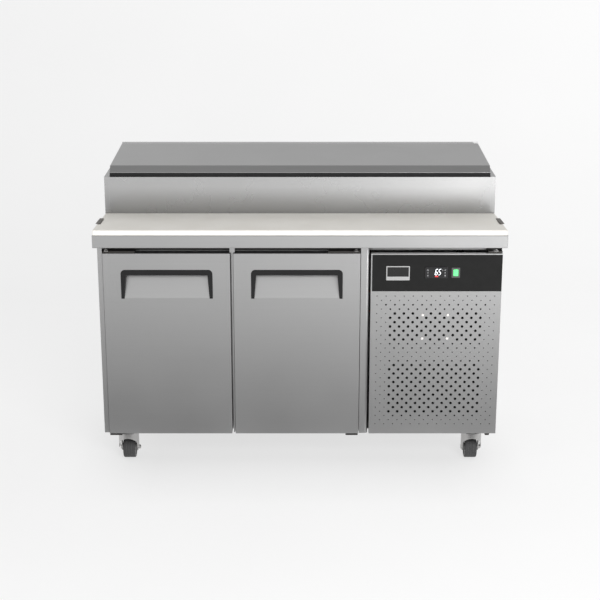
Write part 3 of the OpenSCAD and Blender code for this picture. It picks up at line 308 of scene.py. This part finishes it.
def soften(obj, width):
    """Rounds the sharp folds of a CAD node without touching its own mesh."""
    weld = obj.modifiers.new("weld", "WELD")
    weld.merge_threshold = 0.00001
    bevel = obj.modifiers.new("bevel", "BEVEL")
    bevel.width = width
    bevel.segments = 2
    bevel.limit_method = "ANGLE"
    bevel.angle_limit = math.radians(40)


# ---- Mesh helpers ----

def add_mesh(name, bm):
    """Puts what bm holds into the scene as one object."""
    mesh = bpy.data.meshes.new(name)
    bm.to_mesh(mesh)
    bm.free()
    obj = bpy.data.objects.new(name, mesh)
    bpy.context.scene.collection.objects.link(obj)
    return obj


def piece(name, build, body, slot, finish=None, smooth=None):
    """Makes a mesh with build(bm), gives it a finish and rides it on a body.

    The finish is the slot's own unless one is named. smooth is the angle, in degrees, above
    which an edge stays sharp; without it the faces stay flat.
    """
    bm = bmesh.new()
    build(bm)
    bmesh.ops.remove_doubles(bm, verts=bm.verts, dist=1e-6)
    bmesh.ops.recalc_face_normals(bm, faces=bm.faces)
    obj = add_mesh(name, bm)
    if smooth is not None:
        obj.data.shade_smooth()
        sharp_edges(obj.data, math.radians(smooth))
    paint(obj, finish or slot)
    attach(obj, body)
    return obj


def sharp_edges(mesh, angle):
    bm = bmesh.new()
    bm.from_mesh(mesh)
    for edge in bm.edges:
        if len(edge.link_faces) == 2 and edge.calc_face_angle() > angle:
            edge.smooth = False
    bm.to_mesh(mesh)
    bm.free()


def skin_rings(bm, rings, closed=True, cap_ends=False):
    """Joins rings of points, each the same length, with quads."""
    rows = [[bm.verts.new(p) for p in ring] for ring in rings]
    count = len(rows[0])
    steps = count if closed else count - 1
    for a, b in zip(rows, rows[1:]):
        for i in range(steps):
            j = (i + 1) % count
            bm.faces.new((a[i], a[j], b[j], b[i]))
    if cap_ends:
        bm.faces.new(rows[0])
        bm.faces.new(rows[-1])
    return rows


def rounded_box(bm, low, high, radius, segments):
    """A box with every edge rounded."""
    low, high = Vector(low), Vector(high)
    size = high - low
    made = bmesh.ops.create_cube(bm, size=1.0)
    bmesh.ops.scale(bm, vec=size, verts=made["verts"])
    bmesh.ops.translate(bm, vec=(low + high) / 2, verts=made["verts"])
    edges = {e for v in made["verts"] for e in v.link_edges}
    bmesh.ops.bevel(
        bm, geom=list(edges), offset=min(radius, min(size) * 0.45), segments=segments,
        profile=0.5, affect="EDGES",
    )


def lathe(bm, profile, centre, axis, segments):
    """Turns a list of (distance along the axis, radius) round an axis through centre."""
    centre = Vector(centre)
    rings = []
    for step in range(segments):
        angle = 2 * math.pi * step / segments
        ring = []
        for along, radius in profile:
            u, v = radius * math.cos(angle), radius * math.sin(angle)
            offset = {"X": (along, u, v), "Y": (u, along, v), "Z": (u, v, along)}[axis]
            ring.append(centre + Vector(offset))
        rings.append(ring)
    rings.append(rings[0])
    skin_rings(bm, rings, closed=False)


def corner_loop(half_x, half_y, radius, steps=6):
    """Points round a rectangle with round corners, counter-clockwise, about the origin."""
    points = []
    for quarter in range(4):
        cx = (half_x - radius) * (1 if quarter in (0, 3) else -1)
        cy = (half_y - radius) * (1 if quarter in (0, 1) else -1)
        for step in range(steps + 1):
            angle = math.pi / 2 * (quarter + step / steps)
            points.append((cx + radius * math.cos(angle), cy + radius * math.sin(angle)))
    return points


# ---- CAD nodes ----

SLOTS = {s["node"]: s["material_slot"] for s in frame["record"]["subparts"]}
FINISHES = {
    "hood_shell": "hood_steel", "board_clips": "clip_zinc", "front_frame": "frame_steel",
    "side_panel_left": "stainless_upright", "side_panel_right": "stainless_upright",
}
SOFTENED = {
    "worktop": 0.0016, "hood_shell": 0.0014, "lid_shell": 0.0012, "cutting_board": 0.0022,
    "door_left_skin": 0.0012, "door_right_skin": 0.0012, "door_left_inner": 0.002,
    "door_right_inner": 0.002, "door_left_handle": 0.0016, "door_right_handle": 0.0016,
    "control_strip": 0.0004, "thermostat": 0.0006, "switch_bezel": 0.0006,
    "power_rocker": 0.0008, "badge_plate": 0.0004, "board_clips": 0.0006,
    "compressor": 0.003, "side_panel_left": 0.0005, "front_frame": 0.0008,
    "pedal_front_left": 0.0012, "pedal_front_right": 0.0012,
}


def dress_nodes():
    for name, obj in nodes.items():
        paint(obj, FINISHES.get(name, SLOTS[name]))
        if name in SOFTENED:
            soften(obj, SOFTENED[name])


# ---- Service panel details ----

SEGMENTS = {
    "a": ((-1, 2), (1, 2)), "b": ((1, 2), (1, 0)), "c": ((1, 0), (1, -2)),
    "d": ((-1, -2), (1, -2)), "e": ((-1, 0), (-1, -2)), "f": ((-1, 2), (-1, 0)),
    "g": ((-1, 0), (1, 0)),
}
DIGITS = {"6": "acdefg", "5": "acdfg"}
DIGIT_HALF_W = 3.4 * MM
DIGIT_QUARTER_H = 4.9 * MM
DIGIT_PITCH = 10.8 * MM
STROKE = 0.95 * MM
SLANT = 0.22


def bar(bm, a, b, half, y0, y1):
    """A flat stroke with pointed ends from a to b, given as (x, z)."""
    a, b = Vector(a), Vector(b)
    along = (b - a).normalized()
    side = Vector((-along.y, along.x)) * half
    a, b = a + along * half * 0.35, b - along * half * 0.35
    outline = [a, a + along * half + side, b - along * half + side, b]
    outline += [b - along * half - side, a + along * half - side]
    skin_rings(bm, [[(p.x, y, p.y) for p in outline] for y in (y0, y1)], cap_ends=True)


def icon(bm, kind, x, z, y0, y1):
    """One small mark: a star, a chevron or a dash."""
    half, reach = 0.5 * MM, 2.2 * MM
    if kind == "star":
        for k in range(3):
            turn = math.pi * k / 3
            dx, dz = reach * math.cos(turn), reach * math.sin(turn)
            bar(bm, (x - dx, z - dz), (x + dx, z + dz), half, y0, y1)
    elif kind == "dash":
        bar(bm, (x - reach, z), (x + reach, z), 2 * half, y0, y1)
    else:
        tip = reach * (0.6 if kind == "up" else -0.6)
        for side in (-1, 1):
            bar(bm, (x + side * reach, z - tip), (x, z + tip), half, y0, y1)


def display():
    low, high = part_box("thermostat")
    cx, cz = (low.x + high.x) / 2, (low.z + high.z) / 2
    face = low.y
    glass = face + 0.55 * MM
    lit_front, lit_back = glass - 0.35 * MM, glass - 0.12 * MM
    pane = Vector((21.2 * MM, 14.7 * MM))
    digits_x, digits_z = cx + 5.4 * MM, cz + 2.6 * MM
    lamp_x = (cx - 4.5 * MM, cx + 6 * MM)
    lamp_z = (cz - 14.3 * MM, cz - 10.4 * MM)

    def glass_pane(bm):
        rounded_box(
            bm, (cx - pane.x, glass - 0.1 * MM, cz - pane.y),
            (cx + pane.x, glass + 0.03 * MM, cz + pane.y), 0.1 * MM, 1,
        )

    def digits(bm):
        for digit, place in (("6", -0.5), ("5", 0.5)):
            for key in DIGITS[digit]:
                ends = []
                for u, v in SEGMENTS[key]:
                    z = v * DIGIT_QUARTER_H
                    x = u * DIGIT_HALF_W + SLANT * z
                    ends.append((digits_x + place * DIGIT_PITCH + x, digits_z + z))
                bar(bm, *ends, STROKE, lit_front, lit_back)

    def icons(bm):
        on_key = (face - 0.75 * MM, face - 0.45 * MM)
        on_face = (face - 0.2 * MM, face + 0.1 * MM)
        step, column = 9.5 * MM, 29 * MM
        icon(bm, "star", cx - column, cz + step, *on_key)
        icon(bm, "dash", cx - column, cz, *on_face)
        icon(bm, "down", cx - column, cz - step, *on_key)
        icon(bm, "up", cx + column, cz + step, *on_key)
        icon(bm, "dash", cx + column, cz, *on_face)
        icon(bm, "star", cx + column, cz - step, *on_key)
        icon(bm, "dash", cx + column - 8.5 * MM, cz + step, lit_front, lit_back)

    def lamp(bm):
        rounded_box(
            bm, (lamp_x[0], glass - 0.4 * MM, lamp_z[0]), (lamp_x[1], lit_back, lamp_z[1]),
            0.1 * MM, 1,
        )

    piece("display_glass", glass_pane, "panel", "display_black")
    piece("display_digits", digits, "panel", "display_black", "digit_glow")
    piece("display_icons", icons, "panel", "display_black", "icon_glow")
    piece("display_lamp", lamp, "panel", "display_black", "red_glow")


def badge():
    """A blank badge: a dark enamelled field in a bright border, with a plain band below."""
    low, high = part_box("badge_plate")
    border, top_border, band = 3.2 * MM, 3.4 * MM, 12.5 * MM

    def field(bm):
        rounded_box(
            bm, (low.x + border, low.y + 0.2 * MM, low.z + band),
            (high.x - border, low.y + 0.7 * MM, high.z - top_border), 0.2 * MM, 1,
        )

    piece("badge_field", field, "panel", "strip_black", "badge_field")


def dome_profile(radius, height, back, steps=8):
    """From the rim at the back, round over the dome to the axis."""
    points = [(back, radius)]
    for step in range(steps + 1):
        angle = math.pi / 2 * step / steps
        points.append((-height * math.sin(angle), max(radius * math.cos(angle), 1e-5)))
    return points


def screw_heads():
    """Pan heads with a cross recess, on washers, standing for the plain screws; the heads are near-white as a
    painted glint.
    """
    low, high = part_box("panel_screws")
    radius = 5 * MM
    y_face = low.y + 2.3 * MM
    shank, length, tip = 2.4 * MM, 12 * MM, 0.5 * MM
    washer, washer_t = 6 * MM, 0.8 * MM
    head, dome = 4.6 * MM, 2.2 * MM
    cross_long, cross_thin = 2.6 * MM, 0.5 * MM

    def heads(bm):
        for x in (low.x + radius, high.x - radius):
            for z in (low.z + radius, high.z - radius):
                lathe(bm, [(0, shank), (0, washer), (-washer_t, washer), (-washer_t, 3 * MM),
                           (0, shank)], (x, y_face, z), "Y", 32)
                lathe(bm, dome_profile(head, dome, 0.2 * MM), (x, y_face - washer_t, z), "Y", 32)
                lathe(bm, [(0, 1e-5), (0, shank), (length - tip, shank), (length, 1e-5)],
                      (x, y_face, z), "Y", 16)
                for half in ((cross_long, cross_thin), (cross_thin, cross_long)):
                    rounded_box(
                        bm, (x - half[0], y_face - 3.1 * MM, z - half[1]),
                        (x + half[0], y_face - 2.2 * MM, z + half[1]), 0.1 * MM, 1,
                    )

    obj = piece("panel_screw_heads", heads, "panel", "zinc", smooth=35)
    obj.data.materials.append(finishes["screw_painted_glint"])
    # The domes and cross recesses take the near-white finish: a painted glint
    for polygon in obj.data.polygons:
        if polygon.center.y < y_face - washer_t - 0.05 * MM:
            polygon.material_index = 1
    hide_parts("panel_screws")


def filter_and_shade_pad():
    """A black foam pad in the fold of the service panel, behind its perforations: a dust filter, whose black also
    stands for the shade inside the machine compartment as painted shade.
    """
    low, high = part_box("service_panel")
    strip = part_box("control_strip")[0]
    gap, foot_gap = 6 * MM, 26 * MM
    front, back = low.y + 7 * MM, low.y + 15 * MM

    def pad(bm):
        rounded_box(
            bm, (low.x + gap, front, low.z + foot_gap), (high.x - gap, back, strip.z - gap),
            2 * MM, 2,
        )

    piece("filter_and_shade_pad", pad, "panel", "gasket_rubber", "filter_shade_foam", smooth=40)


# ---- Casters ----

CORNERS = ("front_left", "front_right", "rear_left", "rear_right")


def tyre_profile(half, radius, hub):
    """Closed section of a wheel: a ribbed tread, round shoulders and a recessed disc."""
    points = []
    shoulder, round_steps = 3.5 * MM, 5
    flat = half - shoulder
    ribs = 4
    groove, gap, lean = 0.8 * MM, 1.3 * MM, 0.2 * MM
    axle = 5.1 * MM
    width = (2 * flat - (ribs - 1) * gap) / ribs
    x = -flat
    for rib in range(ribs):
        points += [(x, radius), (x + width, radius)]
        if rib < ribs - 1:
            points += [(x + width + lean, radius - groove)]
            points += [(x + width + gap - lean, radius - groove)]
        x += width + gap
    right = []
    for step in range(1, round_steps + 1):
        angle = math.pi / 2 * step / round_steps
        right.append((
            flat + shoulder * math.sin(angle),
            radius - shoulder * (1 - math.cos(angle)),
        ))
    right += [
        (half, radius - 7.5 * MM), (half - 1.2 * MM, radius - 8.5 * MM),
        (half - 3 * MM, radius - 9 * MM), (half - 4 * MM, radius - 14 * MM),
        (half - 3.4 * MM, hub + 2 * MM), (half - 1 * MM, hub), (half + 6 * MM, hub - 0.6 * MM),
        (half + 6.4 * MM, hub - 2 * MM), (half + 6.4 * MM, axle),
    ]
    left = [(-a, r) for a, r in reversed(right)]
    closed = points + right + left
    return closed + [closed[0]]


TYRE_HALF_WIDTH = 21 * MM
TREAD_DEPTH = 4.5 * MM
HUB_RADIUS = 13 * MM


def wheels():
    for corner in CORNERS:
        node = "wheel_" + corner
        low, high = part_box(node)
        centre = (low + high) / 2
        radius = (high.z - low.z) / 2

        def build(bm):
            lathe(bm, tyre_profile(TYRE_HALF_WIDTH, radius, HUB_RADIUS), centre, "X", 96)

        obj = piece("tyre_" + corner, build, "roller_" + corner, "wheel_rubber", smooth=30)
        obj.data.materials.append(finishes["wheel_core"])
        core = (radius - TREAD_DEPTH) ** 2
        for polygon in obj.data.polygons:
            offset = polygon.center - centre
            if offset.y ** 2 + offset.z ** 2 < core:
                polygon.material_index = 1
        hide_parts(node)


# ---- Doors and lid ----

def gasket_ring(bm, x0, x1, z0, z1, y0, y1, width):
    """A hollow-looking bellows gasket swept round a door with mitred corners."""
    depth = y1 - y0
    section = [
        (0.00, 0.00), (0.00, 0.30), (0.10, 0.42), (0.04, 0.58), (0.10, 0.85), (0.22, 1.00),
        (0.78, 1.00), (0.90, 0.85), (0.96, 0.58), (0.90, 0.42), (1.00, 0.30), (1.00, 0.00),
    ]
    rings = []
    for u, v in section:
        inset = u * width
        y = y0 + v * depth
        rings.append([
            (x0 + inset, y, z0 + inset), (x1 - inset, y, z0 + inset),
            (x1 - inset, y, z1 - inset), (x0 + inset, y, z1 - inset),
        ])
    rings.append(rings[0])
    skin_rings(bm, rings)


GASKET_WIDTH = 16 * MM


def door_gaskets():
    for side in ("left", "right"):
        node = f"door_{side}_gasket"
        low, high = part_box(node)

        def build(bm):
            gasket_ring(
                bm, low.x, high.x, low.z, high.z, low.y, high.y - 0.2 * MM, GASKET_WIDTH
            )

        obj = piece(f"door_seal_{side}", build, "door_" + side, "gasket_rubber", smooth=50)
        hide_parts(node)


def formed_pan(bm, cx, cy, top, half_x, half_y, deep):
    """A pressed food pan: rolled rim, round corners, slightly drawn-in walls."""
    thick = 0.9 * MM
    rim = 12 * MM
    rim_steps = [
        (0, top, 9 * MM), (rim - 3 * MM, top + 0.2 * MM, 11 * MM),
        (rim - 0.8 * MM, top - 0.8 * MM, 13 * MM), (rim + thick, top - 3.2 * MM, 14 * MM),
    ]
    loops = [(half_x - inset, half_y - inset, z, radius) for inset, z, radius in rim_steps]
    bottom = top - deep + thick + 1.6 * MM
    bend, bend_steps, corner = 14 * MM, 5, 20 * MM
    draft = 1.5 * MM
    in_x, in_y = half_x - rim - thick, half_y - rim - thick
    for step in range(bend_steps + 1):
        angle = math.pi / 2 * step / bend_steps
        shrink = draft + bend * (1 - math.cos(angle))
        z = bottom + bend * (1 - math.sin(angle))
        loops.append((in_x - shrink, in_y - shrink, z, corner))
    rings = []
    for hx, hy, z, radius in loops:
        rings.append([(cx + x, cy + y, z) for x, y in corner_loop(hx, hy, radius)])
    outer = []
    for hx, hy, z, radius in reversed(loops):
        grow = 0 if hx > half_x - 1e-6 else thick * 0.9
        outer.append([
            (cx + x, cy + y, z - thick)
            for x, y in corner_loop(hx + grow, hy + grow, radius)
        ])
    rows = skin_rings(bm, rings)
    bm.faces.new(rows[-1])
    under = skin_rings(bm, outer)
    bm.faces.new(under[0])
    count = len(rows[0])
    for i in range(count):
        j = (i + 1) % count
        bm.faces.new((rows[0][i], rows[0][j], under[-1][j], under[-1][i]))


PAN_COUNT = 7
PAN_WIDTH = 162 * MM


def food_pans():
    low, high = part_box("food_pans")
    pitch = (high.x - low.x - PAN_WIDTH) / (PAN_COUNT - 1)
    half_deep = (high.y - low.y) / 2

    def build(bm):
        for i in range(PAN_COUNT):
            cx = low.x + PAN_WIDTH / 2 + i * pitch
            formed_pan(
                bm, cx, (low.y + high.y) / 2, high.z, PAN_WIDTH / 2, half_deep, high.z - low.z
            )

    obj = piece("formed_food_pans", build, "cabinet", "pan_steel", smooth=40)
    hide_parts("food_pans")


# The hood's front edge stands this high, and its deck rises by this much per metre back
HOOD_FRONT = 144 * MM
DECK_SLOPE = 0.0717


def hood_end_caps():
    """The hood's ends are separate sheets, folded over its front and its top."""
    low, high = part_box("hood_shell")
    lid_gap, rear_gap = 0.6 * MM, 7 * MM
    margin = high.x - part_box("lid_shell")[1].x - lid_gap
    rear_y = high.y - rear_gap
    t = 0.7 * MM

    def build(bm):
        for side in (-1, 1):
            edge = side * (high.x + 0.05 * MM)
            inner = side * (high.x - margin)
            path = [
                (low.y, low.z + 0.3 * MM), (low.y, low.z + HOOD_FRONT),
                (rear_y, low.z + HOOD_FRONT + (rear_y - low.y) * DECK_SLOPE),
            ]
            outward = [(-t, 0), (-t, t), (0, t)]
            rings = []
            for (y, z), (dy, dz) in zip(path, outward):
                rings.append([
                    (edge, y, z), (edge, y + dy, z + dz), (inner, y + dy, z + dz),
                    (inner, y, z),
                ])
            skin_rings(bm, rings, cap_ends=True)

    piece("hood_end_caps", build, "cabinet", "stainless", "hood_steel")


def breaker_strips():
    """Black plastic trim: a strip on the frame above the doors, and each door's top cap."""
    frame_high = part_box("front_frame")[1]
    left_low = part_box("door_left_skin")[0]
    right_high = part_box("door_right_skin")[1]
    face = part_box("door_left_gasket")[1].y + 1 * MM
    thick, door_gap = 0.8 * MM, 2.2 * MM
    side_gap, front_gap = 1.5 * MM, 1.6 * MM

    def trim(bm):
        rounded_box(
            bm, (left_low.x, face - thick, right_high.z + door_gap),
            (right_high.x, face - 0.05 * MM, frame_high.z - 0.5 * MM), 0.3 * MM, 1,
        )

    piece("breaker_strip", trim, "cabinet", "black_plastic", "trim_black")
    for side in ("left", "right"):
        low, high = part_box(f"door_{side}_skin")

        def cap(bm):
            rounded_box(
                bm, (low.x + side_gap, low.y + front_gap, high.z + 0.02 * MM),
                (high.x - side_gap, high.y, high.z + 0.22 * MM), 0.08 * MM, 1,
            )

        piece(f"door_cap_{side}", cap, "door_" + side, "black_plastic", "trim_grey")


def room_lining():
    """Galvanised sheet over the insulation, on the machine compartment's inner side."""
    low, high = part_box("cabinet_foam")
    gap, thick = 0.3 * MM, 0.8 * MM

    def sheet(bm):
        rounded_box(
            bm, (high.x + 0.05 * MM, low.y + gap, low.z + gap),
            (high.x + thick, high.y - gap, high.z - gap), 0.1 * MM, 1,
        )

    piece("room_lining", sheet, "cabinet", "galvanised")


HINGE_PLATE_TOP = 768 * MM
HINGE_CAP_RADIUS = {
    "door_left_hinge": 9 * MM, "door_right_hinge": 9 * MM, "service_panel_hinge": 13.5 * MM,
}


def hinge_caps():
    """Domed cup washers on the upper hinge pins."""
    joints = {j["name"]: j["pos_m"] for j in frame["joints"] if j.get("pos_m")}

    def build(bm):
        for name, radius in HINGE_CAP_RADIUS.items():
            x, y, _ = joints[name]
            lathe(bm, [
                (0, 1e-5), (0, radius), (0.8 * MM, radius), (2.6 * MM, radius * 0.82),
                (5.2 * MM, radius * 0.62), (7.0 * MM, radius * 0.55), (7.4 * MM, 1e-5),
            ], (x, y, HINGE_PLATE_TOP), "Z", 48)

    piece("hinge_caps", build, "cabinet", "zinc", smooth=50)


# ---- Studio ----

WHITE = (1, 1, 1, 1)


def floor():
    """A pale sweep: floor in front, curved up into a wall behind."""
    bm = bmesh.new()
    radius, back, height, near, half = 3.0, 5.5, 9.0, -12.0, 14.0
    curve_steps = 16
    line = [(near, 0.0), (back - radius, 0.0)]
    for step in range(1, curve_steps + 1):
        angle = math.pi / 2 * step / curve_steps
        line.append((back - radius + radius * math.sin(angle), radius * (1 - math.cos(angle))))
    line.append((back, height))
    skin_rings(bm, [[(x, y, z) for y, z in line] for x in (-half, half)], closed=False)
    obj = add_mesh("floor", bm)
    obj.data.shade_smooth()
    s = Shader("studio_floor", Roughness=0.9, Specular_IOR_Level=0.1, Emission_Color=WHITE)
    s.colour(s.ramp(s.noise(0.7, detail=3.0), grey(0.30), grey(0.32)))
    # Painted shadow: the glow dims by up to 0.14 in a soft patch under and just in front of the table
    across = s.ramp(s.math("ABSOLUTE", s.axis("X")), 0.14, 0.0, 0.5, 0.8)
    ahead = s.math("ABSOLUTE", s.math("ADD", s.axis("Y"), 0.2))
    shade = s.math("MULTIPLY", across, s.ramp(ahead, 1.0, 0.0, 0.0, 0.4))
    # Painted light: the glow rises from left to right, as light falling from the right
    glow = s.ramp(s.axis("X"), 0.62, 0.70, -2.5, 2.5)
    glow = s.math("MULTIPLY", glow, s.math("SUBTRACT", 1.0, shade))
    s.link(glow, s.bsdf, "Emission Strength")
    obj.data.materials.append(s.material)


def flag(name, corners, along, glow, tilt):
    """A grey card seen only in reflections, as studios use on steel.

    Its glow runs from glow[0] to glow[1] along one axis, and tilt[0] to tilt[1] across X.
    """
    bm = bmesh.new()
    bm.faces.new([bm.verts.new(corner) for corner in corners])
    obj = add_mesh(name, bm)
    s = Shader(
        name + "_card", Roughness=1.0, Base_Color=(0, 0, 0, 1), Specular_IOR_Level=0.0,
        Emission_Color=WHITE,
    )
    places = [corner["XYZ".index(along)] for corner in corners]
    lengthwise = s.ramp(s.axis(along), *glow, min(places), max(places))
    strength = s.math("MULTIPLY", lengthwise, s.ramp(s.axis("X"), *tilt, -2.0, 2.0))
    s.link(strength, s.bsdf, "Emission Strength")
    obj.data.materials.append(s.material)
    obj.visible_camera = False
    obj.visible_diffuse = False
    obj.visible_shadow = False


def upright_card(x0, x1, y, z0, z1):
    """The corners of a card that faces along Y."""
    return [(x0, y, z0), (x1, y, z0), (x1, y, z1), (x0, y, z1)]


def flags():
    half, far, near, lift = 3.0, -3.1, -0.44, 0.004
    on_floor = [(-half, far, lift), (half, far, lift), (half, near, lift), (-half, near, lift)]
    flag("floor_flag", on_floor, "Y", (0.84, 0.22), (0.80, 1.08))
    behind = upright_card(-half, half, 3.0, 1.2, 4.2)
    flag("back_flag", behind, "Z", (0.60, 0.60), (1.03, 0.97))
    ahead_right = upright_card(0, 1.9, -3.4, 0.1, 0.95)
    flag("side_flag", ahead_right, "X", (0.9, 2.7), (1.0, 1.0))


def area_light(name, place, aim, size, power):
    data = bpy.data.lights.new(name, "AREA")
    data.shape = "RECTANGLE"
    data.size, data.size_y = size
    data.energy = power
    light = bpy.data.objects.new(name, data)
    light.location = place
    light.rotation_euler = (Vector(aim) - Vector(place)).to_track_quat("-Z", "Y").to_euler()
    bpy.context.scene.collection.objects.link(light)
    return light


def studio():
    world = bpy.data.worlds.new("studio")
    world.use_nodes = True
    background = world.node_tree.nodes["Background"]
    sky = world.node_tree.nodes.new("ShaderNodeTexCoord")
    split = world.node_tree.nodes.new("ShaderNodeSeparateXYZ")
    shade = world.node_tree.nodes.new("ShaderNodeValToRGB")
    shade.color_ramp.elements[0].position = 0.35
    shade.color_ramp.elements[0].color = (*grey(0.90), 1)
    shade.color_ramp.elements[1].position = 0.9
    shade.color_ramp.elements[1].color = (*grey(0.34), 1)
    world.node_tree.links.new(sky.outputs["Generated"], split.inputs["Vector"])
    world.node_tree.links.new(split.outputs["Z"], shade.inputs["Fac"])
    world.node_tree.links.new(shade.outputs["Color"], background.inputs["Color"])
    background.inputs["Strength"].default_value = 1.0
    bpy.context.scene.world = world
    key = area_light("key", (1.4, -4.8, 2.5), (0, 0, 0.6), (2.8, 2.0), 165)
    key.visible_glossy = False
    softbox = area_light("softbox", (2.5, -3.4, 1.65), (0.4, 0, 0.95), (1.3, 1.3), 35)
    softbox.visible_diffuse = False


CAMERA_PLACE = (0.0, -4.2968, 1.6789)
CAMERA_TILT = math.radians(75)
CAMERA_LENS = 74.07


def camera():
    data = bpy.data.cameras.new("camera")
    data.lens = CAMERA_LENS
    data.sensor_width = 36.0
    obj = bpy.data.objects.new("camera", data)
    obj.location = CAMERA_PLACE
    obj.rotation_euler = (CAMERA_TILT, 0, 0)
    bpy.context.scene.collection.objects.link(obj)
    bpy.context.scene.camera = obj


camera()
dress_nodes()
display()
badge()
screw_heads()
filter_and_shade_pad()
wheels()
door_gaskets()
food_pans()
hood_end_caps()
breaker_strips()
room_lining()
hinge_caps()
floor()
flags()
studio()
bpy.context.scene.view_settings.view_transform = "Standard"
